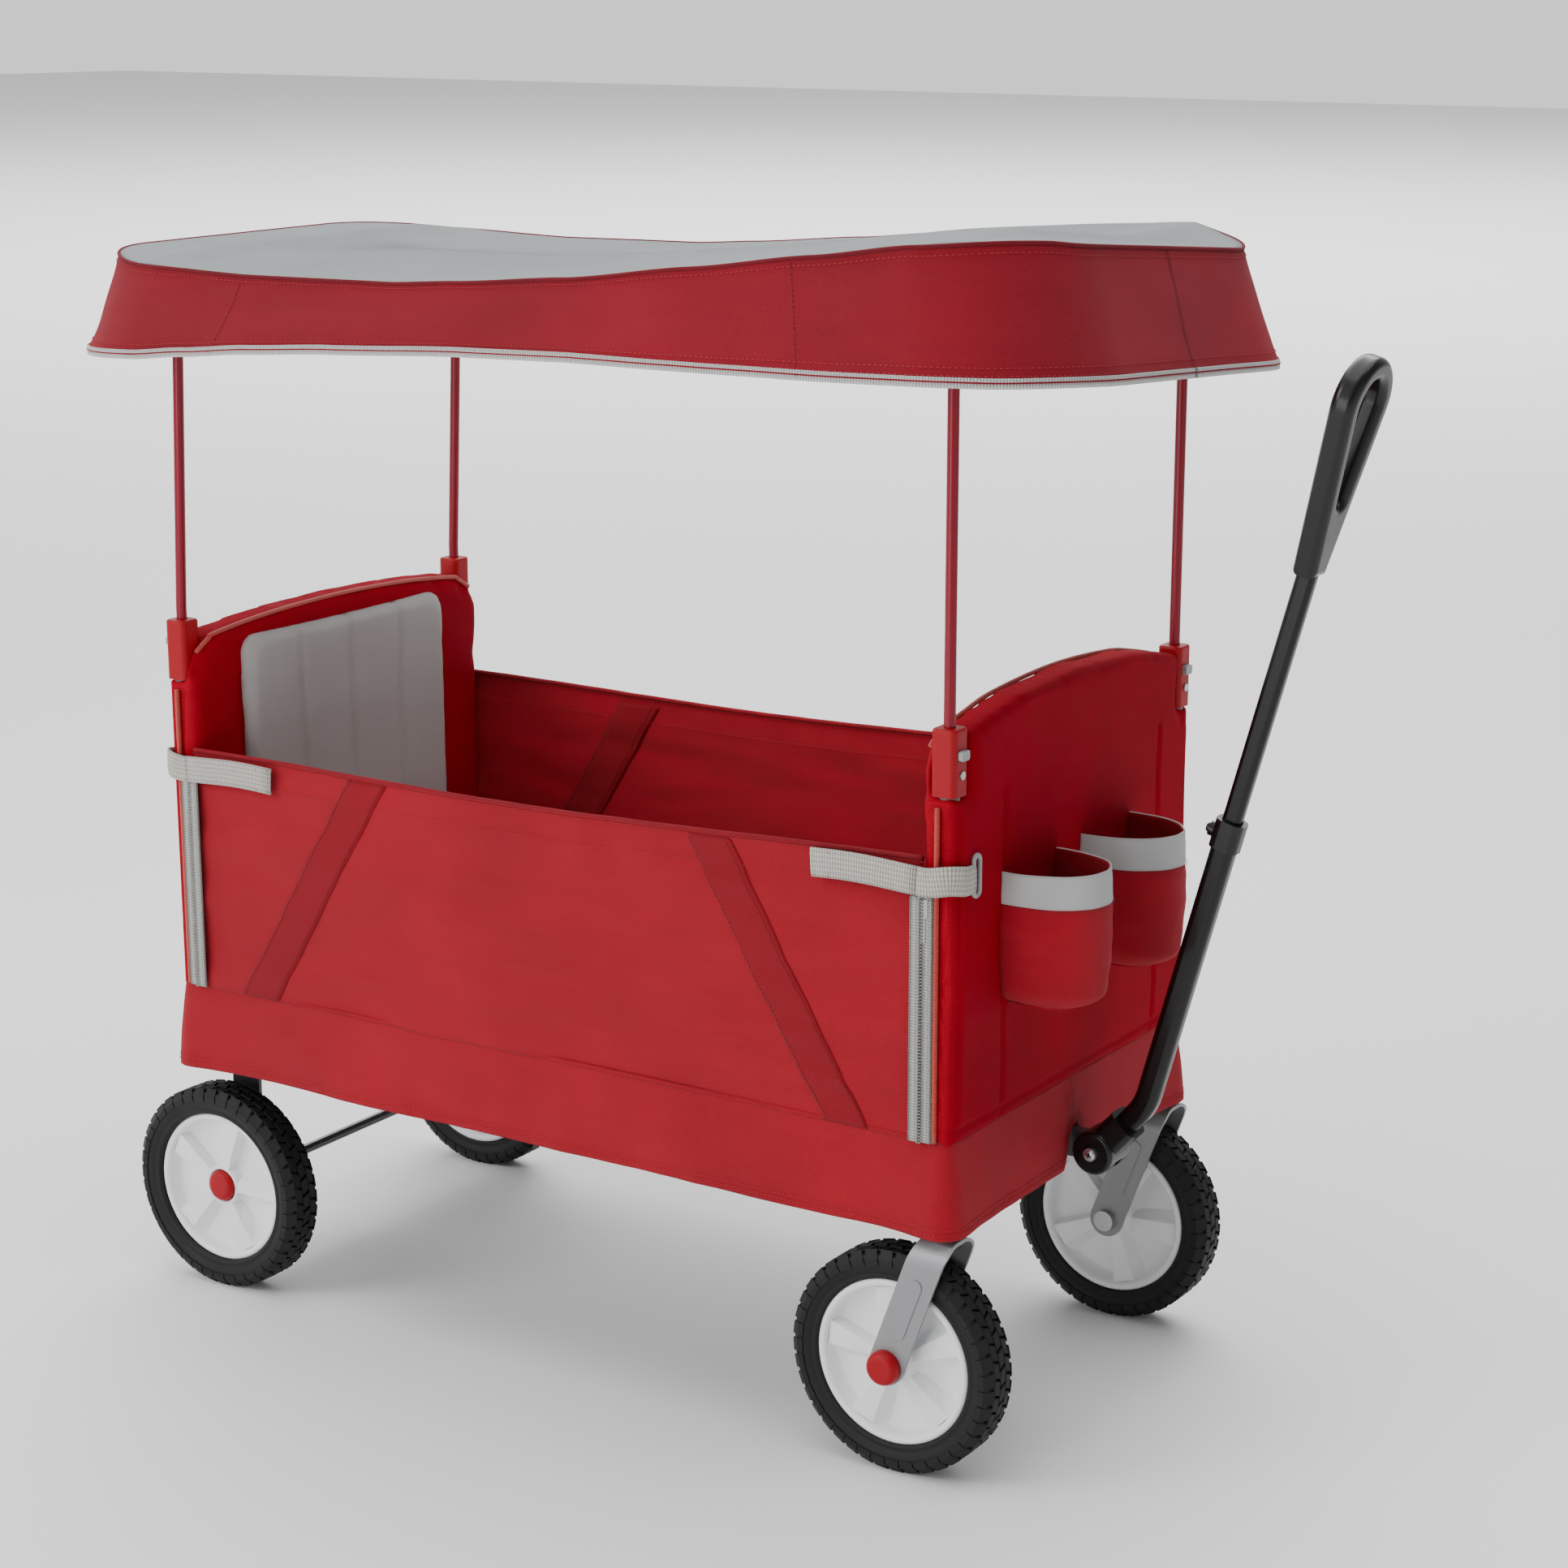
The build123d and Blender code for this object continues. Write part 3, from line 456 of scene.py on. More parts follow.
def join(name, pieces):
    """Several pieces made into one mesh."""
    bpy.ops.object.select_all(action="DESELECT")
    for piece in pieces:
        piece.select_set(True)
    bpy.context.view_layer.objects.active = pieces[0]
    bpy.ops.object.join()
    name = name.replace(" ", "_")
    pieces[0].name = name
    pieces[0].data.name = name
    return pieces[0]


# ---- Geometry node groups for what repeats ----
def new_group(name, inputs):
    """A geometry node group with named inputs: (name, socket type, default)."""
    group = bpy.data.node_groups.new(name, "GeometryNodeTree")
    group.interface.new_socket("Geometry", in_out="INPUT", socket_type="NodeSocketGeometry")
    for label, kind, default in inputs:
        socket = group.interface.new_socket(label, in_out="INPUT", socket_type=kind)
        if default is not None:
            socket.default_value = default
    group.interface.new_socket("Geometry", in_out="OUTPUT", socket_type="NodeSocketGeometry")
    return group, group.nodes.new("NodeGroupInput"), group.nodes.new("NodeGroupOutput")


def apply_group(piece, group, values):
    """Runs a node group on a piece with the given inputs, and keeps the result as its mesh."""
    modifier = piece.modifiers.new(group.name, "NODES")
    modifier.node_group = group
    for item in group.interface.items_tree:
        if item.in_out == "INPUT" and item.name in values:
            modifier[item.identifier] = values[item.name]
    return settle(piece)


def stitch_group():
    """Stitches along an edge path: a rounded dash at every pitch."""
    group, given, result = new_group("Stitches", [
        ("Pitch", "NodeSocketFloat", 0.004), ("Length", "NodeSocketFloat", 0.0028),
        ("Width", "NodeSocketFloat", 0.0008), ("Material", "NodeSocketMaterial", None)])
    nodes, links = group.nodes, group.links
    to_curve = nodes.new("GeometryNodeMeshToCurve")
    resample = nodes.new("GeometryNodeResampleCurve")
    resample.mode = "LENGTH"
    tangent = nodes.new("GeometryNodeInputTangent")
    align = nodes.new("FunctionNodeAlignEulerToVector")
    align.axis = "X"
    dash = nodes.new("GeometryNodeMeshIcoSphere")
    dash.inputs["Radius"].default_value = 0.5
    dash.inputs["Subdivisions"].default_value = 1
    size = nodes.new("ShaderNodeCombineXYZ")
    place = nodes.new("GeometryNodeInstanceOnPoints")
    realize = nodes.new("GeometryNodeRealizeInstances")
    paint = nodes.new("GeometryNodeSetMaterial")
    links.new(given.outputs["Geometry"], to_curve.inputs[0])
    links.new(to_curve.outputs[0], resample.inputs["Curve"])
    links.new(given.outputs["Pitch"], resample.inputs["Length"])
    links.new(tangent.outputs[0], align.inputs["Vector"])
    links.new(resample.outputs[0], place.inputs["Points"])
    links.new(dash.outputs[0], place.inputs["Instance"])
    links.new(align.outputs[0], place.inputs["Rotation"])
    links.new(given.outputs["Length"], size.inputs[0])
    links.new(given.outputs["Width"], size.inputs[1])
    links.new(given.outputs["Width"], size.inputs[2])
    links.new(size.outputs[0], place.inputs["Scale"])
    links.new(place.outputs[0], realize.inputs[0])
    links.new(realize.outputs[0], paint.inputs["Geometry"])
    links.new(given.outputs["Material"], paint.inputs["Material"])
    links.new(paint.outputs[0], result.inputs[0])
    return group


def ring_group():
    """Copies of the given block in rows round the Y axis, each row turned by its own phase."""
    group, given, result = new_group("Tread blocks", [
        ("Blocks round", "NodeSocketInt", 36), ("Radius", "NodeSocketFloat", 0.1),
        ("Material", "NodeSocketMaterial", None)])
    nodes, links = group.nodes, group.links
    circle = nodes.new("GeometryNodeMeshCircle")
    index = nodes.new("GeometryNodeInputIndex")
    turn = nodes.new("ShaderNodeMath")
    turn.operation = "DIVIDE"
    whole = nodes.new("ShaderNodeMath")
    whole.operation = "MULTIPLY"
    whole.inputs[1].default_value = 2 * math.pi
    euler = nodes.new("ShaderNodeCombineXYZ")
    place = nodes.new("GeometryNodeInstanceOnPoints")
    lay = nodes.new("GeometryNodeTransform")
    lay.inputs["Rotation"].default_value = (math.pi / 2, 0.0, 0.0)
    realize = nodes.new("GeometryNodeRealizeInstances")
    paint = nodes.new("GeometryNodeSetMaterial")
    links.new(given.outputs["Blocks round"], circle.inputs["Vertices"])
    links.new(given.outputs["Radius"], circle.inputs["Radius"])
    links.new(index.outputs[0], turn.inputs[0])
    links.new(given.outputs["Blocks round"], turn.inputs[1])
    links.new(turn.outputs[0], whole.inputs[0])
    links.new(whole.outputs[0], euler.inputs[2])
    links.new(circle.outputs[0], place.inputs["Points"])
    links.new(given.outputs["Geometry"], place.inputs["Instance"])
    links.new(euler.outputs[0], place.inputs["Rotation"])
    links.new(place.outputs[0], lay.inputs["Geometry"])
    links.new(lay.outputs[0], realize.inputs[0])
    links.new(realize.outputs[0], paint.inputs["Geometry"])
    links.new(given.outputs["Material"], paint.inputs["Material"])
    links.new(paint.outputs[0], result.inputs[0])
    return group


stitches_nodes = stitch_group()
tread_nodes = ring_group()


def stitches(name, path, material=None, pitch=0.0042, length=0.0030, width=0.0009):
    """A row of stitches along a path."""
    spots = [tuple(spot) for spot in path]
    name = name.replace(" ", "_")
    data = bpy.data.meshes.new(name)
    data.from_pydata([(x + middle_x, y, z) for x, y, z in spots], [(i, i + 1) for i in range(len(spots) - 1)], [])
    made = bpy.data.objects.new(name, data)
    bpy.context.collection.objects.link(made)
    return apply_group(made, stitches_nodes, {"Pitch": pitch, "Length": length, "Width": width,
                                              "Material": material or thread})


def folds_with_floor(piece):
    """Gives the piece a copy of its mesh of its own."""
    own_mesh(piece)


# ---- Wheels ----
wheel_radius = 0.1016
tyre_half = 0.021
tyre_profile = [
    (0.0745, -0.0135), (0.0765, -0.0168), (0.0790, -0.0176), (0.0805, -0.0168), (0.0822, -0.0178),
    (0.0860, -0.0196), (0.0905, -0.0202), (0.0945, -0.0196), (0.0968, -0.0182), (0.0982, -0.0158),
    (0.0988, -0.0100), (0.0990, 0.0), (0.0988, 0.0100), (0.0982, 0.0158), (0.0968, 0.0182),
    (0.0945, 0.0196), (0.0905, 0.0202), (0.0860, 0.0196), (0.0822, 0.0178), (0.0805, 0.0168),
    (0.0790, 0.0176), (0.0765, 0.0168), (0.0745, 0.0135)]
tread_height = 0.0026


def tread_block(y0, y1, reach, skew, drop0=0.0, drop1=0.0):
    """One tread block lying at the start of its ring: X outwards, Y round the tyre, Z across it."""
    base = -0.0035
    half = reach / 2
    corners = []
    for height, inset in ((base, 0.0), (tread_height * 0.72, 0.0), (tread_height, 0.0007)):
        for across, way, drop in ((y0 + inset, -1, drop0), (y1 - inset, 1, drop1)):
            for along in (-half + inset, half - inset):
                corners.append((height - drop, along + skew * way, across))
    faces = []
    for level in (0, 4):
        faces += [(level, level + 1, level + 5, level + 4), (level + 1, level + 3, level + 7, level + 5),
                  (level + 3, level + 2, level + 6, level + 7), (level + 2, level, level + 4, level + 6)]
    faces.append((8, 9, 11, 10))
    return corners, faces


def build_tyre(name):
    """A tyre carcass with five rings of interlocking tread blocks."""
    points, faces = lathe(tyre_profile, 128)
    carcass = mesh_object(name, points, faces, tyre_rubber, shift=False)
    around = 40
    pitch = 2 * math.pi * wheel_radius / around
    lanes = []
    rows = [(-0.0210, -0.0140, 0.80, 0.0010, 0.0, 0.0070, 0.0), (-0.0134, -0.0050, 0.84, 0.0016, 0.5, 0.0006, 0.0),
            (-0.0044, 0.0044, 0.84, -0.0016, 0.0, 0.0, 0.0), (0.0050, 0.0134, 0.84, 0.0016, 0.5, 0.0, 0.0006),
            (0.0140, 0.0210, 0.80, -0.0010, 0.0, 0.0, 0.0070)]
    for index, (y0, y1, share, skew, phase, drop0, drop1) in enumerate(rows):
        corners, sides = tread_block(y0, y1, pitch * share, skew, drop0, drop1)
        block = mesh_object(f"{name} lane {index}", corners, sides, tyre_rubber, shift=False)
        block = apply_group(block, tread_nodes, {"Blocks round": around, "Radius": 0.0990, "Material": tyre_rubber})
        block.data.transform(Matrix.Rotation(phase * 2 * math.pi / around, 4, "Y"))
        lanes.append(block)
    whole = join(name, [carcass, *lanes])
    for face in whole.data.polygons:
        face.use_smooth = face.index < len(faces)
    return whole


def build_rim(name, recess):
    """A dished white rim with five wide wedge spokes on both faces; recess is the side with a sunken cap, or 0."""
    half = [(0.0745, 0.0), (0.0755, 0.0100), (0.0750, 0.0150), (0.0728, 0.0168), (0.0700, 0.0164), (0.0682, 0.0146),
            (0.0672, 0.0105), (0.0650, 0.0046), (0.0600, 0.0022), (0.0300, 0.0015), (0.0215, 0.0036),
            (0.0200, 0.0100), (0.0188, 0.0190), (0.0172, 0.0205), (0.0150, 0.0205), (0.0142, 0.0190),
            (0.0138, 0.0150), (0.0060, 0.0150), (0.0056, 0.0)]
    sunken = [*half[:11], (0.0204, 0.0085), (0.0196, 0.0122), (0.0182, 0.0130), (0.0168, 0.0124),
              (0.0162, 0.0110), (0.0162, 0.0038), (0.0056, 0.0038), (0.0056, 0.0)]
    pieces = []
    for sign in (-1, 1):
        profile = [(radius, y * sign) for radius, y in (sunken if sign == recess else half)]
        points, faces = lathe(profile, 96)
        if sign > 0:
            faces = [tuple(reversed(face)) for face in faces]
        pieces.append(mesh_object(f"{name} dish {sign}", points, faces, rim_white, shift=False))
        corners = []
        sides = []
        for index in range(5):
            turn = math.radians(72 * index + 18)
            out = Vector((math.cos(turn), 0, math.sin(turn)))
            across = Vector((-math.sin(turn), 0, math.cos(turn)))
            start = len(corners)
            for radius, wide, rise in ((0.0185, 0.0082, 0.0124), (0.0420, 0.0138, 0.0134), (0.0668, 0.0200, 0.0126)):
                for side, height in ((-1.0, 0.0010), (-0.80, rise), (0.30, rise - 0.0010), (1.0, 0.0012)):
                    spot = out * radius + across * (wide * side)
                    corners.append((spot.x, sign * height, spot.z))
            for ring in range(2):
                for step in range(3):
                    corner = start + ring * 4 + step
                    side = (corner, corner + 1, corner + 5, corner + 4)
                    sides.append(side if sign > 0 else tuple(reversed(side)))
        spokes = mesh_object(f"{name} spokes {sign}", corners, sides, rim_white, shift=False)
        bevel = spokes.modifiers.new("soft edges", "BEVEL")
        bevel.width = 0.0007
        bevel.segments = 2
        pieces.append(settle(spokes))
        for face in pieces[-1].data.polygons:
            face.use_smooth = False
    return join(name, pieces)


def place_wheel(kind, maker, node, turn):
    """Puts a wheel piece on its axle in place of the CAD node."""
    low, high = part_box(node)
    centre = (low + high) / 2
    recess = 0 if "front" in node else (1 if "left" in node else -1)
    made = maker(f"{node} look", recess) if kind == "rim" else maker(f"{node} look")
    made.data.transform(Matrix.Translation(centre) @ Matrix.Rotation(math.radians(turn), 4, "Y"))
    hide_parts(node)
    return made


wheel_turns = {"rear_right": 8, "front_right": -12, "rear_left": 30, "front_left": 20}
for place, turn in wheel_turns.items():
    tyre = place_wheel("tyre", build_tyre, f"{place}_tyre", turn)
    rim = place_wheel("rim", build_rim, f"{place}_rim", turn)
    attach(tyre, f"{place}_wheel")
    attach(rim, f"{place}_wheel")


# ---- Side panels ----
side_low = 0.3065
side_end = 0.4032
side_ends = {-1: side_end, 1: 0.4130}
side_y = 0.2166


def side_top(x):
    """The height of a side panel's top edge."""
    return 0.5450 + 0.006 * x / 0.4 - 0.0035 * math.cos(math.pi * x / 0.42)


def side_point(sign, seed):
    """The surface of a side panel, with a slack belly and long soft wrinkles."""
    def point(u, v):
        x = (2 * u - 1) * side_ends[sign]
        z = side_low + (side_top(x) - side_low) * v
        belly = 0.0040 * math.sin(math.pi * min(1.0, v * 1.05)) * math.cos(math.pi * x / 0.84)
        long_folds = ripple(x * 5.0, 0, z * 30.0 + x * 4.0 * sign, seed) * 0.0033
        fine_folds = ripple(x * 14.0, 3, z * 70.0, seed) * 0.0010
        sheltered = 1 - 0.65 * math.exp(-((v - 1) / 0.09) ** 2)
        pull = 0.0015 * ripple(x * 26.0, 5, z * 4.0, seed) * math.exp(-((v - 1) / 0.2) ** 2)
        y = side_y - 0.0012 + belly + (long_folds + fine_folds) * sheltered + pull
        return (x, sign * min(y, 0.2212), z)
    return point


def on_side(sign, seed, x, z, proud=0.0):
    """The spot on a side panel at x and z."""
    u = (x / side_ends[sign] + 1) / 2
    v = (z - side_low) / (side_top(x) - side_low)
    spot = side_point(sign, seed)(u, v)
    return Vector((spot[0], spot[1] + sign * proud, spot[2]))


def side_band(name, sign, seed, top_x, bottom_x, wide, proud, outside=True):
    """A diagonal reinforcing band sewn to a side panel."""
    def point(u, v):
        middle = bottom_x + (top_x - bottom_x) * v
        x = middle + (u - 0.5) * wide
        z = side_low + 0.002 + (side_top(x) - side_low - (0.006 if outside else 0.012)) * v
        edge = 1 - (2 * abs(u - 0.5)) ** 8
        side = proud * (0.35 + 0.65 * edge)
        spot = on_side(sign, seed, x, z, side if outside else -side - 0.0016)
        return tuple(spot)
    return sheet_grid(name, 14, 60, point, band_cloth, 0.0006, size=(wide, 0.24))


def side_piece(label, sign, seed, body, node):
    """One fabric side with its bands, hem and stitching."""
    panel = sheet_grid(f"{label} side cloth", 220, 64, side_point(sign, seed), red_cloth, 0.0016,
                       size=(2 * side_ends[sign], 0.24))
    if sign > 0:
        panel.data.flip_normals()
    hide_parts(node)
    extras = []
    rows = []
    for way in (-1, 1):
        for outside in (True, False):
            name = f"{label} side band {way} {'out' if outside else 'in'}"
            extras.append(side_band(name, sign, seed, way * 0.190, way * 0.330, 0.046, 0.0011, outside))
        for edge in (-0.0195, 0.0195):
            path = [on_side(sign, seed, way * (0.330 - 0.140 * t) + edge, side_low + 0.004 + 0.228 * t, 0.0015)
                    for t in (i / 60 for i in range(61))]
            rows.append(stitches(f"{label} band stitches {way} {edge}", path, dark_thread))
            path = [on_side(sign, seed, way * (0.330 - 0.140 * t) + edge, side_low + 0.004 + 0.228 * t, -0.0031)
                    for t in (i / 60 for i in range(61))]
            rows.append(stitches(f"{label} inner band stitches {way} {edge}", path, dark_thread))
    for drop in (0.0035, 0.0265):
        for proud in (0.0004, -0.0019):
            path = [on_side(sign, seed, x, side_top(x) - drop, proud)
                    for x in (side_ends[sign] * (i / 80 - 1) for i in range(161))]
            rows.append(stitches(f"{label} hem stitches {drop} {proud}", path, thread))
    sewing = join(f"{label} side stitching", rows)
    bands = join(f"{label} side bands", extras)
    edge = tube(f"{label} side top binding", [on_side(sign, seed, x, side_top(x) - 0.0006, -0.0008)
                                              for x in (side_ends[sign] * (i / 80 - 1) for i in range(161))],
                0.0024, red_cloth, 8)
    for piece in (panel, sewing, bands, edge):
        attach(piece, body)
        folds_with_floor(piece)
    return panel


side_piece("right", -1, 3.1, "side_drop", "right_side_panel")
side_piece("left", 1, 8.7, "rear_frame", "left_side_panel")


# ---- Lower skirt ----
def rounded_outline(share, half_x, half_y, corner):
    """A point and its outward direction on a rounded rectangle, share going from 0 to 1 round it."""
    straight_x, straight_y = half_x - corner, half_y - corner
    arc = math.pi * corner / 2
    total = 4 * (straight_x + straight_y + arc)
    reach = (share % 1.0) * total
    legs = [(Vector((half_x, 0)), Vector((0, 1)), straight_y), (None, (straight_x, straight_y, 0), arc),
            (Vector((straight_x, half_y)), Vector((-1, 0)), 2 * straight_x),
            (None, (-straight_x, straight_y, 90), arc),
            (Vector((-half_x, straight_y)), Vector((0, -1)), 2 * straight_y),
            (None, (-straight_x, -straight_y, 180), arc),
            (Vector((-straight_x, -half_y)), Vector((1, 0)), 2 * straight_x),
            (None, (straight_x, -straight_y, 270), arc), (Vector((half_x, -straight_y)), Vector((0, 1)), straight_y)]
    for start, way, length in legs:
        if reach <= length:
            if start is not None:
                spot = start + way * reach
                out = Vector((way.y, -way.x))
                return spot, out
            turn = math.radians(way[2]) + reach / corner
            out = Vector((math.cos(turn), math.sin(turn)))
            return Vector((way[0], way[1])) + out * corner, out
        reach -= length
    return Vector((half_x, 0)), Vector((1, 0))


skirt_half_x = 0.4336
skirt_half_y = 0.2170
skirt_corner = 0.012
skirt_low = 0.2230
skirt_high = 0.3115


def skirt_point(u, v):
    """The skirt below the body: a bound seam above, a loose belly and a wavy hem below."""
    spot, out = rounded_outline(u, skirt_half_x - 0.0008, skirt_half_y - 0.0004, skirt_corner)
    near_corner = math.exp(-(((abs(spot.x) - skirt_half_x + 0.01) / 0.03) ** 2
                             + ((abs(spot.y) - skirt_half_y + 0.01) / 0.03) ** 2))
    down = 1 - v
    belly = 0.0034 * math.sin(math.pi * min(1.0, down * 0.9))
    folds = ripple(spot.x * 9.0 + spot.y * 5, 2, v * 2.2 + spot.x * 2, 4.4) * 0.0022 * (0.25 + down)
    folds += ripple(spot.x * 30.0 + spot.y * 34.0, 1, v * 2.0, 9.0) * 0.0012 * (0.3 + down)
    flare = 0.0050 * down * down + 0.0040 * near_corner * down
    z = skirt_low + (skirt_high - skirt_low) * v
    z += (1 - v) * (0.0025 * ripple(spot.x * 5.0, spot.y * 6.0, 0, 2.2) + 0.0022)
    tongue = math.exp(-(spot.y / 0.013) ** 4) if spot.x > 0.4 else 0.0
    z += tongue * (1 - v) * 0.040
    place_out = belly + folds + flare - 0.0008
    return (spot.x + out.x * place_out, spot.y + out.y * place_out, z)


skirt = sheet_grid("lower skirt cloth", 560, 26, skirt_point, red_cloth, 0.0016, closed=True, size=(2.66, 0.086))
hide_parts("lower_skirt")
skirt_rows = []
for height in (0.06, 0.11, 0.955):
    path = []
    for index in range(561):
        spot = Vector(skirt_point(index / 560, height))
        outline, out = rounded_outline(index / 560, skirt_half_x, skirt_half_y, skirt_corner)
        path.append(spot + Vector((out.x, out.y, 0)) * 0.0004)
    skirt_rows.append(stitches(f"skirt stitches {height}", path, dark_thread if height > 0.5 else thread))
skirt_sewing = join("skirt stitching", skirt_rows)
for piece in (skirt, skirt_sewing):
    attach(piece, "rear_frame")
    folds_with_floor(piece)


# ---- Padded pieces ----
def crown(end):
    """The end panel's top outline from one side to the other, as (y, z)."""
    if end == "front":
        return [(-0.205, 0.650), (-0.188, 0.660), (-0.177, 0.663), (-0.150, 0.669), (-0.102, 0.677),
                (0.0, 0.682), (0.102, 0.677), (0.150, 0.669), (0.177, 0.663), (0.188, 0.660), (0.205, 0.650)]
    return [(-0.205, 0.638), (-0.188, 0.648), (-0.177, 0.652), (-0.102, 0.659), (0.0, 0.662),
            (0.102, 0.659), (0.177, 0.652), (0.188, 0.648), (0.205, 0.638)]


def extruded(name, outline, x0, x1):
    """A closed solid from a flat (y, z) outline, between two heights along X."""
    count = len(outline)
    points = [(x, y, z) for x in (x0, x1) for y, z in outline]
    faces = [tuple(range(count - 1, -1, -1)), tuple(range(count, 2 * count))]
    faces += [(i, (i + 1) % count, count + (i + 1) % count, count + i) for i in range(count)]
    made = mesh_object(name, points, faces, red_cloth)
    made.data.polygons.foreach_set("use_smooth", [False] * len(faces))
    return made


def end_block(name, way, crown_points, edge_z):
    """The end pad as a full block with a step beside each pole holder and a thin flap in front of it."""
    half, step_y, step_z, foot = 0.2166, 0.1912, 0.6080, 0.3030
    inner, flap, outer = way * 0.4030, way * 0.4088, way * 0.4336
    top = [(y, z) for y, z in crown_points if abs(y) < step_y]
    stepped = [(-half, foot), (half, foot), (half, step_z), (step_y, step_z), (step_y, top[-1][1]),
               *reversed(top), (-step_y, top[0][1]), (-step_y, step_z), (-half, step_z)]
    whole = [(-half, foot), (half, foot), (half, edge_z), *reversed(crown_points), (-half, edge_z)]
    return join(name, [extruded(name, stepped, inner, outer), extruded(f"{name} flap", whole, inner, flap)])


def hug_posts(piece, way, reach=0.0128):
    """Draws the corners of an end pad in round the posts."""
    for vertex in piece.data.vertices:
        spot = vertex.co
        for sign in (-1, 1):
            dx = way * (spot.x - middle_x) - post_x
            dy = sign * spot.y - 0.2040
            if dx > 0 and dy > 0:
                size = math.hypot(dx, dy)
                if size > reach:
                    spot.x = middle_x + way * (post_x + dx * reach / size)
                    spot.y = sign * (0.2040 + dy * reach / size)


def puffed(name, node, voxel, strength, most, material, axes, block=None):
    """A padded piece grown from its CAD node, or from a block, by a short cloth simulation under pressure."""
    name = name.replace(" ", "_")
    data = (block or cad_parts[node]).data.copy()
    if block:
        bpy.data.objects.remove(block)
    data.materials.clear()
    data.materials.append(material)
    made = bpy.data.objects.new(name, data)
    bpy.context.collection.objects.link(made)
    remesh = made.modifiers.new("even mesh", "REMESH")
    remesh.mode = "VOXEL"
    remesh.voxel_size = voxel
    settle(made)
    rest = np.array([vertex.co for vertex in made.data.vertices])
    cloth = made.modifiers.new("cloth", "CLOTH")
    cloth.settings.quality = 4
    cloth.settings.mass = 0.25
    cloth.settings.tension_stiffness = 12
    cloth.settings.compression_stiffness = 12
    cloth.settings.bending_stiffness = 0.6
    cloth.settings.use_pressure = True
    cloth.settings.uniform_pressure_force = strength
    cloth.settings.effector_weights.gravity = 0.0
    scene = bpy.context.scene
    cloth.point_cache.frame_start = 1
    cloth.point_cache.frame_end = 20
    for step in range(1, 21):
        scene.frame_set(step)
    settle(made)
    scene.frame_set(1)
    now = np.array([vertex.co for vertex in made.data.vertices])
    move = now - rest
    thin = 3 - axes[0] - axes[1]
    for axis in axes:
        move[:, axis] *= 0.12
    move[:, thin] = np.clip(move[:, thin], -most, most)
    size = np.linalg.norm(move, axis=1, keepdims=True)
    move *= np.minimum(1.0, most / np.maximum(size, 1e-9))
    made.data.vertices.foreach_set("co", (rest + move).ravel())
    smooth = made.modifiers.new("smooth", "SMOOTH")
    smooth.factor = 0.5
    smooth.iterations = 3
    finer = made.modifiers.new("finer", "SUBSURF")
    finer.levels = 1
    settle(made)
    layer = made.data.uv_layers.new(name="UVMap") if not made.data.uv_layers else made.data.uv_layers[0]
    for loop in made.data.loops:
        spot = made.data.vertices[loop.vertex_index].co
        layer.data[loop.index].uv = (spot[axes[0]], spot[axes[1]])
    made.data.polygons.foreach_set("use_smooth", [True] * len(made.data.polygons))
    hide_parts(node)
    return made


def distance_to(a, b, start, end):
    """How far the point (a, b) is from a straight seam."""
    ax, ay = start
    bx, by = end
    length = (bx - ax) ** 2 + (by - ay) ** 2
    t = max(0.0, min(1.0, ((a - ax) * (bx - ax) + (b - ay) * (by - ay)) / length))
    return math.hypot(a - ax - t * (bx - ax), b - ay - t * (by - ay))


def press(piece, seams, depth, wide, axis, centre, axes, wrinkle=0.0, seed=0.0):
    """Presses seams into a padded piece, and adds soft wrinkles between them."""
    for vertex in piece.data.vertices:
        spot = vertex.co
        a, b = spot[axes[0]], spot[axes[1]]
        side = 1.0 if spot[axis] > centre else -1.0
        nearest = min([distance_to(a, b, start, end) for start, end in seams] or [1.0])
        dent = depth * math.exp(-(nearest / wide) ** 2)
        fold = wrinkle * (ripple(a * 6.0, side * 2, b * 22.0, seed) + 0.45 * ripple(a * 28.0, side, b * 30.0, seed))
        spot[axis] += side * (fold - dent)


end_seams_front = [((0.148, 0.312), (0.148, 0.600)), ((-0.134, 0.312), (-0.134, 0.600)),
                   ((-0.214, 0.319), (0.214, 0.319))]
end_seams_rear = [((0.150, 0.312), (0.150, 0.600)), ((-0.150, 0.312), (-0.150, 0.600)),
                  ((-0.214, 0.319), (0.214, 0.319))]
for end, way, seams in (("front", 1, end_seams_front), ("rear", -1, end_seams_rear)):
    block = end_block(f"{end} pad block", way, crown(end), 0.630 if way > 0 else 0.616)
    panel = puffed(f"{end} end pad", f"{end}_end_panel", 0.0042, 4.0, 0.0032, front_cloth, (1, 2), block)
    low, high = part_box(f"{end}_end_panel")
    press(panel, seams, 0.0022, 0.0035, 0, (low.x + high.x) / 2, (1, 2), 0.0012, 5.0 * way)
    hug_posts(panel, way)
    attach(panel, f"{end}_frame")
    back = puffed(f"{end} back pad", f"{end}_back_pad", 0.0040, 4.0, 0.0060, pad_cloth, (1, 2))
    low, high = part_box(f"{end}_back_pad")
    quilting = [((y, low.z), (y, high.z)) for y in (-0.075, 0.0, 0.075)]
    press(back, quilting, 0.0028, 0.0050, 0, (low.x + high.x) / 2, (1, 2), 0.0006, 2.0 * way)
    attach(back, f"{end}_frame")
    mat = puffed(f"{end} floor mat pad", f"{end}_floor_mat", 0.0046, 3.0, 0.0040, mat_cloth, (0, 1))
    low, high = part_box(f"{end}_floor_mat")
    lines = [((low.x + (high.x - low.x) * share, low.y), (low.x + (high.x - low.x) * share, high.y))
             for share in (0.25, 0.5, 0.75)]
    press(mat, lines, 0.0020, 0.0050, 2, low.z - 0.01, (0, 1), 0.0006, 7.0 * way)
    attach(mat, f"{end}_floor")


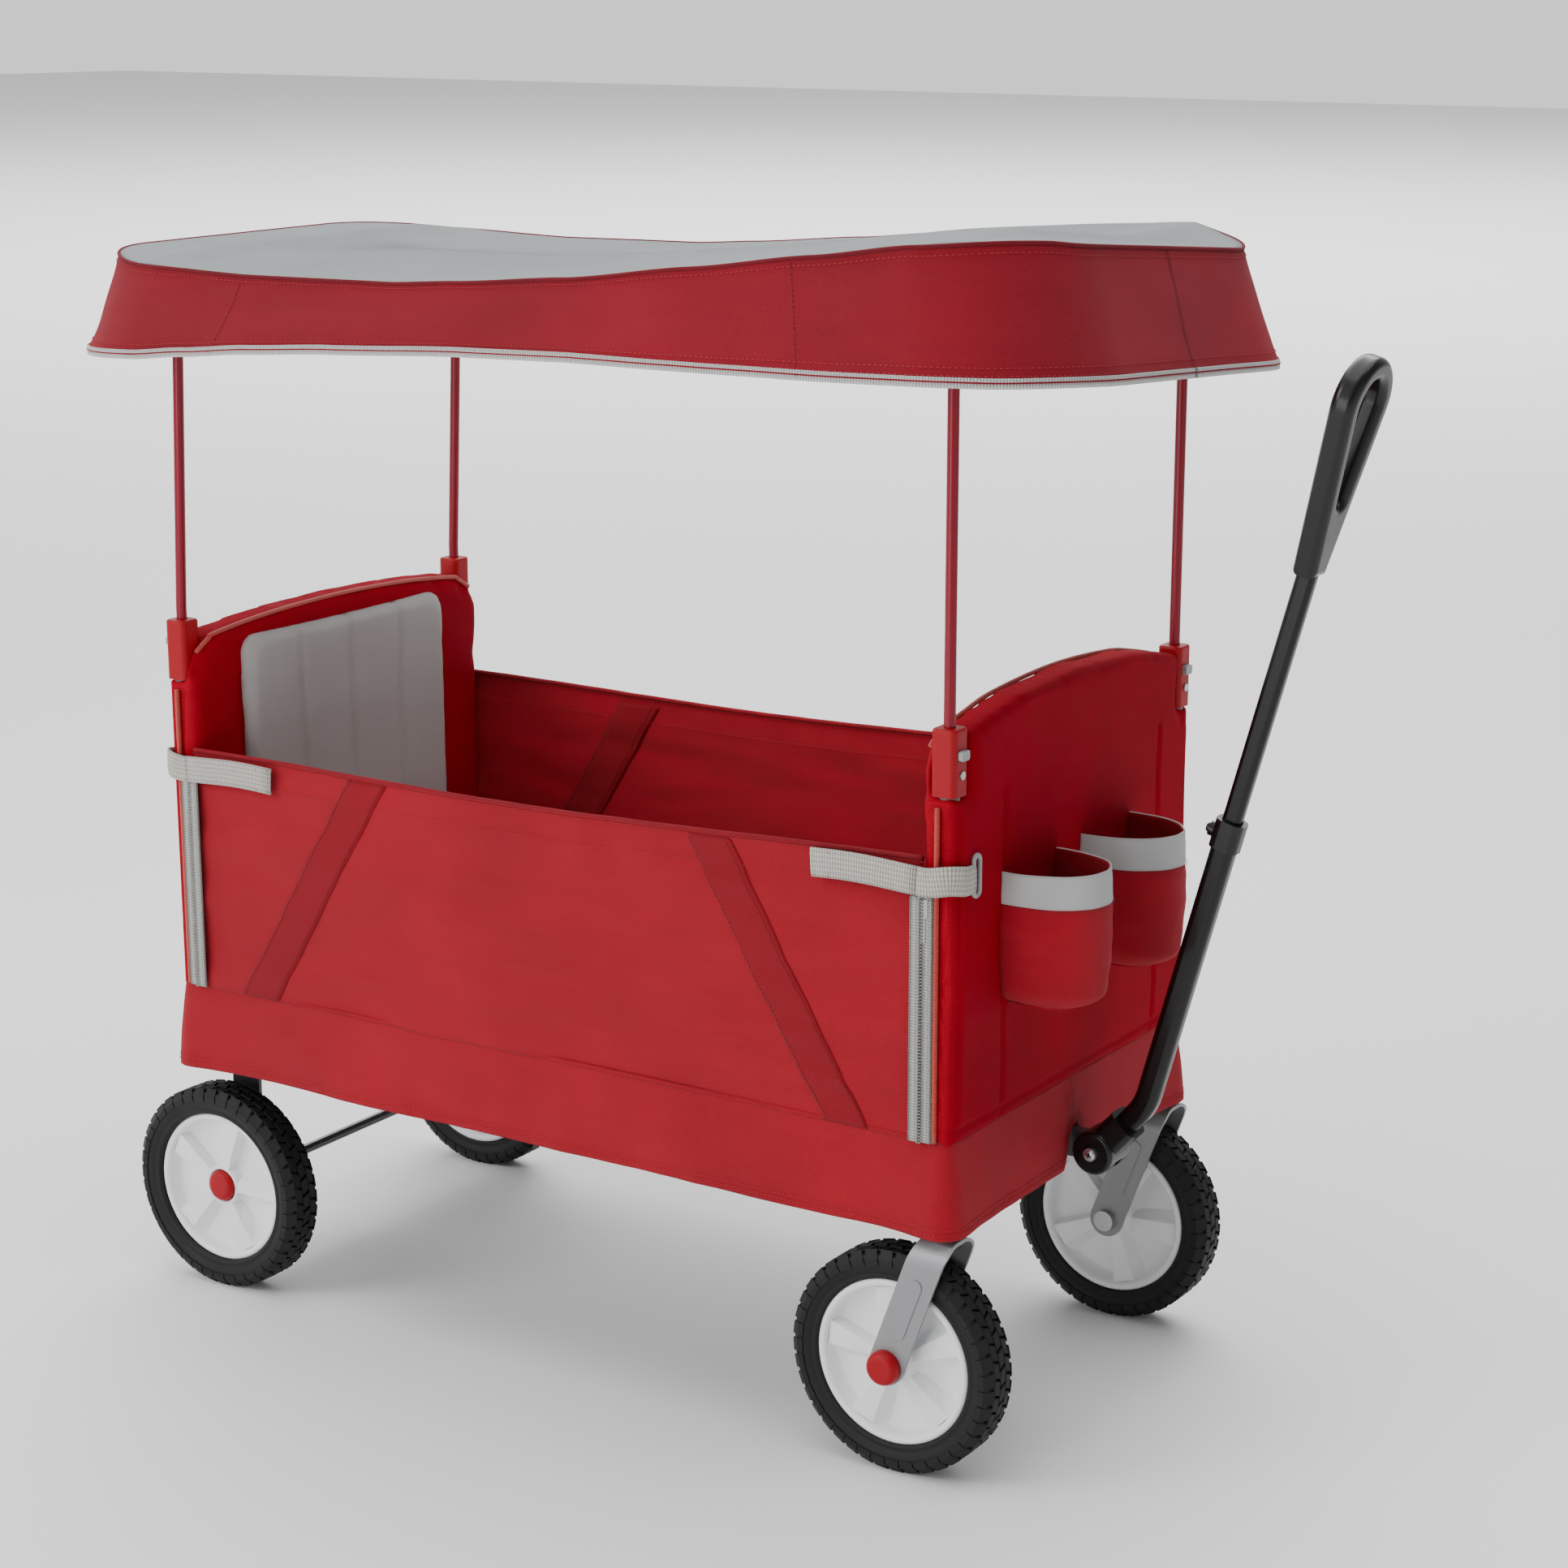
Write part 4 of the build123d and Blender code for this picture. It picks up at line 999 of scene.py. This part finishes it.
# ---- Canopy ----
def table(points):
    """A smooth curve through (x, value) points."""
    xs = [point[0] for point in points]
    values = [point[1] for point in points]

    def read(x):
        if x <= xs[0]:
            return values[0]
        for index in range(len(xs) - 1):
            if x <= xs[index + 1]:
                t = (x - xs[index]) / (xs[index + 1] - xs[index])
                t = t * t * (3 - 2 * t) * 0.35 + t * 0.65
                return values[index] + (values[index + 1] - values[index]) * t
        return values[-1]
    return read


hem_height = table([(-0.548, 0.9140), (-0.416, 0.9200), (-0.355, 0.9260), (-0.277, 0.9330), (-0.182, 0.9390),
                    (-0.038, 0.9460), (0.083, 0.9490), (0.206, 0.9490), (0.324, 0.9500), (0.473, 0.9530),
                    (0.538, 0.9560)])
edge_height = table([(-0.515, 1.0060), (-0.430, 0.9985), (-0.297, 0.9950), (-0.129, 0.9970), (-0.057, 1.0015),
                     (0.065, 1.0110), (0.189, 1.0260), (0.307, 1.0410), (0.398, 1.0530), (0.492, 1.0610),
                     (0.505, 1.0600)])
canopy_centre = -0.005
canopy_hem = (0.543, 0.261, 0.131)
canopy_edge = (0.510, 0.235, 0.114)


def canopy_skirt_point(u, v):
    """The canopy's skirt, v going from the hem to the top edge."""
    low, out = rounded_outline(u, *canopy_hem)
    high, _ = rounded_outline(u, *canopy_edge)
    share = v ** 0.82
    flat = low.lerp(high, share)
    x = flat.x + canopy_centre
    lean = max(0.0, min(1.0, (low.x - 0.05) / 0.45))
    lean = lean * lean * (3 - 2 * lean)
    tip = max(0.0, min(1.0, (high.x - 0.42) / 0.085))
    z_low = hem_height(low.x + canopy_centre) - (low.y + canopy_hem[1]) * 0.055 * lean
    z_high = edge_height(high.x + canopy_centre) - (high.y + canopy_edge[1]) * (0.022 * lean - 0.010 * (1 - lean) + 0.054 * tip)
    z = z_low + (z_high - z_low) * v
    folds = ripple(x * 7.0, flat.y * 7.0, v * 1.5, 1.5) * 0.0030 * math.sin(math.pi * min(v + 0.2, 1.0))
    folds += ripple(x * 18.0 + v, flat.y * 18.0, v * 2.5, 6.5) * 0.0013
    return (x + out.x * folds, flat.y + out.y * folds, z)


canopy_skirt = sheet_grid("canopy skirt cloth", 520, 30, canopy_skirt_point, canopy_cloth, 0.0014, closed=True,
                          size=(2.99, 0.10))
canopy_skirt.data.flip_normals()


def canopy_top_point(u, v):
    """The grey top, v going from the top edge to the middle line."""
    edge, out = rounded_outline(u, *canopy_edge)
    rim = Vector(canopy_skirt_point(u, 1.0))
    inner = Vector((edge.x * 0.55 / 1.0, 0.0))
    flat = Vector((rim.x - canopy_centre, rim.y)).lerp(inner, v)
    x = flat.x + canopy_centre
    height = rim.z * (1 - v) + (edge_height(x) - 0.006 * max(0.0, min(1.0, (x - 0.05) / 0.45))) * v
    height += 0.0090 * math.sin(math.pi * min(1.0, v) / 2) - 0.004 * math.sin(math.pi * v)
    height += ripple(x * 5.0, flat.y * 8.0, 0, 3.3) * 0.0030 * math.sin(math.pi * v) + 0.0006
    for bow in (-post_x, post_x):
        height += 0.0060 * math.exp(-((x - bow) / 0.022) ** 2) * math.sin(math.pi * min(1.0, v * 1.3 + 0.15)) ** 2
    return (x, flat.y, height)


canopy_top = sheet_grid("canopy top cloth", 520, 26, canopy_top_point, grey_cloth, 0.0014, closed=True,
                        size=(2.79, 0.25))
canopy_rows = []
for height, proud in ((0.05, 0.0006), (0.11, 0.0006), (0.93, 0.0006)):
    path = []
    for index in range(521):
        spot = Vector(canopy_skirt_point(index / 520, height))
        outline, out = rounded_outline(index / 520, *canopy_hem)
        path.append(spot + Vector((out.x, out.y, 0)) * proud)
    canopy_rows.append(stitches(f"canopy stitches {height}", path, thread, 0.0050, 0.0034, 0.0010))
seam_starts = (0.355, 0.855, 0.145, 0.645)
for start in seam_starts:
    path = []
    for index in range(31):
        spot = Vector(canopy_skirt_point(start, index / 30))
        outline, out = rounded_outline(start, *canopy_hem)
        path.append(spot + Vector((out.x, out.y, 0)) * 0.0006)
    canopy_rows.append(stitches(f"canopy seam {start}", path, dark_thread))
canopy_sewing = join("canopy stitching", canopy_rows)
edge_piping = tube("canopy edge piping", [Vector(canopy_skirt_point(index / 520, 1.0)) for index in range(520)],
                   0.0017, canopy_cloth, 8, True)
hem_tape = sheet_grid("canopy hem tape", 520, 3, lambda u, v: tuple(
    Vector(canopy_skirt_point(u, 0.0)) + Vector((0, 0, 0.004 - 0.0085 * (1 - v))) - Vector(
        (*rounded_outline(u, *canopy_hem)[1], 0)) * 0.0006), hem_weave, 0.0022, closed=True, size=(2.99, 0.009))
hem_tape.data.flip_normals()
hoop_path = [Vector(canopy_skirt_point(index / 260, 0.06)) - Vector((*rounded_outline(index / 260, *canopy_hem)[1], 0))
             * 0.0058 for index in range(260)]
hem_hoop = tube("canopy hoop in its hem", hoop_path, 0.0030, slot_finish["hem_wire"], 10, True)
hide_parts("canopy_cover")
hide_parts("canopy_hem_hoop")
for piece in (canopy_skirt, canopy_top, canopy_sewing, edge_piping, hem_tape, hem_hoop):
    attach(piece, "rear_canopy")
    folds_with_floor(piece)


# ---- Cup pockets ----
pocket_sheets = []
pocket_bits = []
for index, (middle, top_z, low_z) in enumerate(((-0.093, 0.5300, 0.4120), (0.047, 0.5320, 0.4140))):
    half, deep = 0.0465, 0.0770

    def pocket_point(u, v, middle=middle, top_z=top_z, low_z=low_z):
        turn = math.pi * (u - 0.5)
        taper = 0.90 + 0.10 * min(1.0, v * 1.6)
        belly = 1 + 0.05 * math.sin(math.pi * v)
        close = min(1.0, v / 0.16)
        close = math.sqrt(max(0.0, 1 - (1 - close) ** 2))
        across = math.sin(turn) * half * taper * belly * (0.62 + 0.38 * close)
        out = max(0.0, math.cos(turn)) ** 0.75 * deep * belly * (0.40 + 0.60 * close)
        wrinkle = ripple(u * 9.0, v * 7.0, middle * 40, 2.0) * 0.0018
        z = low_z + (top_z - low_z) * (v ** 1.05) - 0.006 * math.cos(turn) * (1 - v)
        return (0.4332 + out * (1 + wrinkle * 8) - 0.001, middle + across + wrinkle, z)

    pocket = sheet_grid(f"cup pocket cloth {index}", 60, 44, pocket_point, red_cloth, 0.0014, size=(0.22, 0.12))
    floor_point = lambda u, v, p=pocket_point, m=middle, z=low_z: tuple(
        Vector(p(u, 0.02)).lerp(Vector((0.4332, p(u, 0.02)[1], p(u, 0.02)[2])), v))
    bottom = sheet_grid(f"cup pocket bottom {index}", 60, 8, floor_point, red_cloth, 0.0012, size=(0.2, 0.07))
    band = sheet_grid(f"cup pocket band {index}", 60, 10, lambda u, v, p=pocket_point: tuple(
        Vector(p(u, 0.78 + 0.225 * v)) + Vector((0.0012 * math.cos(math.pi * (u - 0.5)),
                                               0.0012 * math.sin(math.pi * (u - 0.5)), 0.0))),
        pocket_band_cloth, 0.0014, size=(0.22, 0.028))
    rows = [stitches(f"cup pocket stitches {index} {share}", [
        Vector(pocket_point(step / 60, share)) + Vector((0.0019 * math.cos(math.pi * (step / 60 - 0.5)),
                                                         0.0019 * math.sin(math.pi * (step / 60 - 0.5)), 0.0))
        for step in range(61)], dark_thread) for share in (0.77,)]
    pocket_bits += [bottom, band, *rows]
    pocket_sheets.append(pocket)
cup_pockets = join("cup pockets cloth", pocket_sheets)
pocket_trim = join("cup pocket bands and stitching", pocket_bits)
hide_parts("cup_pockets")
for piece in (cup_pockets, pocket_trim):
    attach(piece, "front_frame")


# ---- Zips on the drop-down side ----
for end, way in (("rear", -1), ("front", 1)):
    zip_x = way * 0.4062
    zip_low, zip_high = 0.3085, 0.5230
    for half, body in ((-1, "side_drop"), (1, f"{end}_frame")):
        middle = zip_x + way * half * 0.0055
        path = [(middle, -0.2206 + 0.0014 * (half > 0), zip_low + (zip_high - zip_low) * i / 40) for i in range(41)]
        tape = ribbon(f"{end} zip tape {body}", path, 0.0105, (0, -1, 0), 0.0009, zip_weave)
        line = [(zip_x + way * half * 0.0011, -0.2222, z) for _, _, z in path]
        teeth = stitches(f"{end} zip teeth {body}", line, zip_teeth, 0.0028, 0.0019, 0.0026)
        rolled = tube(f"{end} zip cord {body}", [(zip_x + way * half * 0.0098, -0.2216 + 0.0014 * (half > 0), z) for _, _, z in path],
                      0.0008, zip_weave, 8)
        whole = join(f"{end} zip half {body}", [tape, teeth, rolled])
        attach(whole, body)
        if body == "side_drop":
            folds_with_floor(whole)


# ---- Straps round the posts ----
def strap_path(way, sign):
    """The strap's path from the side panel round a post to its slot on the end panel."""
    end_x = way * 0.4384
    y = sign * 0.2228
    path = [(way * (0.300 + 0.104 * i / 8), y, 0) for i in range(9)]
    path += [(way * (0.404 + 0.016 * i / 4), y, 0) for i in range(1, 5)]
    for index in range(1, 9):
        turn = math.pi / 2 * index / 8
        path.append((way * (0.4200 + 0.0184 * math.sin(turn)), sign * (0.2044 + 0.0184 * math.cos(turn)), 0))
    path += [(end_x, sign * (0.2044 - 0.0150 * i / 3), 0) for i in range(1, 4)]
    return path


strap_height = {(-1, -1): 0.5260, (1, -1): 0.5380}
for (way, sign), height in strap_height.items():
    end = "rear" if way < 0 else "front"
    side = "right" if sign < 0 else "left"
    path = strap_path(way, sign)
    sag = [height + 0.0015 * math.sin(i * 0.5) for i in range(len(path))]
    path = [(x, y, z) for (x, y, _), z in zip(path, sag)]

    def outward(index, path=path, way=way, sign=sign):
        x, y, _ = path[index]
        turn_x = max(0.0, (abs(x) - 0.420) / 0.0184)
        turn_y = max(0.0, (abs(y) - 0.2044) / 0.0184)
        return Vector((way * turn_x, sign * turn_y, 0)).normalized()

    split = 9
    near = ribbon(f"{end} {side} strap on the side", path[:split], 0.0250, lambda i, f=outward: f(i), 0.0016,
                  strap_weave)
    round_post = ribbon(f"{end} {side} strap round the post", path[split - 1:], 0.0250,
                        lambda i, f=outward, s=split: f(i + s - 1), 0.0016, strap_weave)
    y_out = sign * 0.2248
    bar = [(way * x, y_out, height + dz) for x, dz in ((0.3035, 0.0105), (0.3035, -0.0105))]
    box = [(way * x, y_out, height + dz) for x, dz in ((0.318, 0.0105), (0.318, -0.0105))]
    sewn = join(f"{end} {side} strap stitching", [
        stitches(f"{end} {side} strap end", bar, thread, 0.0026, 0.0020, 0.0008),
        stitches(f"{end} {side} strap box", box, thread, 0.0026, 0.0020, 0.0008)])
    slot_spots = []
    for index in range(40):
        turn = 2 * math.pi * index / 40
        slot_spots.append((way * 0.4388, sign * 0.1865 + 0.0050 * math.cos(turn),
                           height + math.copysign(0.0125, math.sin(turn)) + 0.0050 * math.sin(turn)))
    slot_ring = tube(f"{end} {side} strap slot", slot_spots, 0.0021, slot_finish["grey_plastic"], 10, True)
    side_body = "side_drop" if sign < 0 else "rear_frame"
    for piece in (near, sewn):
        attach(piece, side_body)
        folds_with_floor(piece)
    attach(round_post, f"{end}_frame")
    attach(slot_ring, f"{end}_frame")


# ---- Piping on the end panels ----
for end, way in (("rear", -1), ("front", 1)):
    cords = []
    for sign in (-1, 1):
        x = way * 0.4190
        spots = [(x, sign * 0.2180, 0.309 + 0.29 * i / 20) for i in range(21)]
        cords.append(tube(f"{end} corner piping {sign}", spots, 0.0023, piping_cord, 8))
    inner = [(way * 0.4042, y, z) for _, y, z in smooth_path([(0, y, z - 0.0028) for y, z in crown(end)], 8)]
    cords.append(tube(f"{end} crown piping", inner, 0.0022, piping_cord, 8))
    piping = join(f"{end} panel piping", cords)
    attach(piping, f"{end}_frame")


# ---- Cross-head screws on the handle pivot ----
def cross_head(name, centre, sign):
    """A domed screw head with a cross recess, facing along Y."""
    rings = [(0.0, 0.0016), (0.0035, 0.0014), (0.0048, 0.0006), (0.0052, -0.0002), (0.0052, -0.0016)]
    points, faces = lathe([(max(radius, 0.0001), sign * y) for radius, y in rings], 24)
    if sign > 0:
        faces = [tuple(reversed(face)) for face in faces]
    head = mesh_object(name, points, faces, slot_finish["zinc_steel"], shift=False)
    bars = []
    for turn in (20, 110):
        bar = bmesh.new()
        bmesh.ops.create_cube(bar, size=1.0)
        bmesh.ops.scale(bar, vec=(0.0054, 0.0010, 0.0012), verts=bar.verts)
        bmesh.ops.rotate(bar, cent=(0, 0, 0), matrix=Matrix.Rotation(math.radians(turn), 3, "Y"), verts=bar.verts)
        bmesh.ops.translate(bar, vec=(0, sign * 0.0012, 0), verts=bar.verts)
        data = bpy.data.meshes.new(f"{name} recess {turn}")
        bar.to_mesh(data)
        bar.free()
        data.materials.append(slot_finish["black_plastic"])
        made = bpy.data.objects.new(data.name, data)
        bpy.context.collection.objects.link(made)
        bars.append(made)
    head = join(name, [head, *bars])
    head.data.transform(Matrix.Translation(centre))
    return head


bolt_low, bolt_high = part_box("handle_pivot_bolt")
bolt_middle = (bolt_low + bolt_high) / 2
for sign, face_y in ((-1, bolt_low.y), (1, bolt_high.y)):
    screw = cross_head(f"handle pivot screw {sign}", Vector((bolt_middle.x, face_y, bolt_middle.z)), sign)
    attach(screw, "handle")


# ---- Camera, light and floor ----
camera_data = bpy.data.cameras.new("camera")
camera = bpy.data.objects.new("camera", camera_data)
bpy.context.collection.objects.link(camera)
turned = Matrix.Rotation(0.5533, 4, "Z") @ Matrix.Rotation(math.pi / 2 - 0.2524, 4, "X") @ Matrix.Rotation(0.0057, 4, "Z")
camera.matrix_world = Matrix.Translation((middle_x + 1.7272, -2.4438, 1.2575)) @ turned
camera_data.sensor_width = 36.0
camera_data.lens = 74.8
camera_data.shift_x = -0.0536
camera_data.shift_y = 0.0210
bpy.context.scene.camera = camera


def area_light(name, spot, target, size, power, colour=(1, 1, 1)):
    """A soft square light aimed at a point."""
    data = bpy.data.lights.new(name, "AREA")
    data.shape = "SQUARE"
    data.size = size
    data.energy = power
    data.color = colour
    light = bpy.data.objects.new(name, data)
    bpy.context.collection.objects.link(light)
    light.location = spot
    light.rotation_mode = "QUATERNION"
    light.rotation_quaternion = (Vector(target) - Vector(spot)).to_track_quat("-Z", "Y")
    return light


aim = (middle_x, 0.0, 0.5)
area_light("key light", (-2.4, -3.2, 2.7), aim, 2.0, 80)
area_light("top light", (0.2, 0.4, 3.6), aim, 4.0, 120)
area_light("low front light", (-0.4, -4.2, 0.9), aim, 1.8, 42)
area_light("fill light", (3.6, -0.6, 1.2), aim, 2.2, 5)
cabin_light = area_light("cabin light", (middle_x, -0.04, 0.90), (middle_x, 0.06, 0.30), 0.42, 1.6)
cabin_light.visible_camera = False
area_light("backdrop light", (-6.0, 11.0, 9.0), (-7.0, 13.0, 0.0), 12.0, 2600)

world = bpy.data.worlds.new("studio")
bpy.context.scene.world = world
world.use_nodes = True
sky = world.node_tree
facing = sky.nodes.new("ShaderNodeSeparateXYZ")
sky.links.new(sky.nodes.new("ShaderNodeTexCoord").outputs["Generated"], facing.inputs[0])
ramp = sky.nodes.new("ShaderNodeMapRange")
ramp.inputs["From Min"].default_value = -0.25
ramp.inputs["From Max"].default_value = 0.55
ramp.inputs["To Min"].default_value = 1.05
ramp.inputs["To Max"].default_value = 0.22
sky.links.new(facing.outputs[0], ramp.inputs["Value"])
sky.links.new(ramp.outputs[0], sky.nodes["Background"].inputs["Strength"])
sky.nodes["Background"].inputs["Color"].default_value = (1.0, 1.0, 1.0, 1.0)

floor_data = bpy.data.meshes.new("studio floor")
floor_data.from_pydata([(-30, -30, 0), (30, -30, 0), (30, 30, 0), (-30, 30, 0)], [], [(0, 1, 2, 3)])
floor_paint = Finish("pale studio floor", 0.9)
floor_paint.colour(floor_paint.mix(floor_paint.noise(3.0, 2.0), (0.86, 0.86, 0.86), (0.88, 0.88, 0.88)))
floor_data.materials.append(floor_paint.material)
studio_floor = bpy.data.objects.new("studio floor", floor_data)
bpy.context.collection.objects.link(studio_floor)
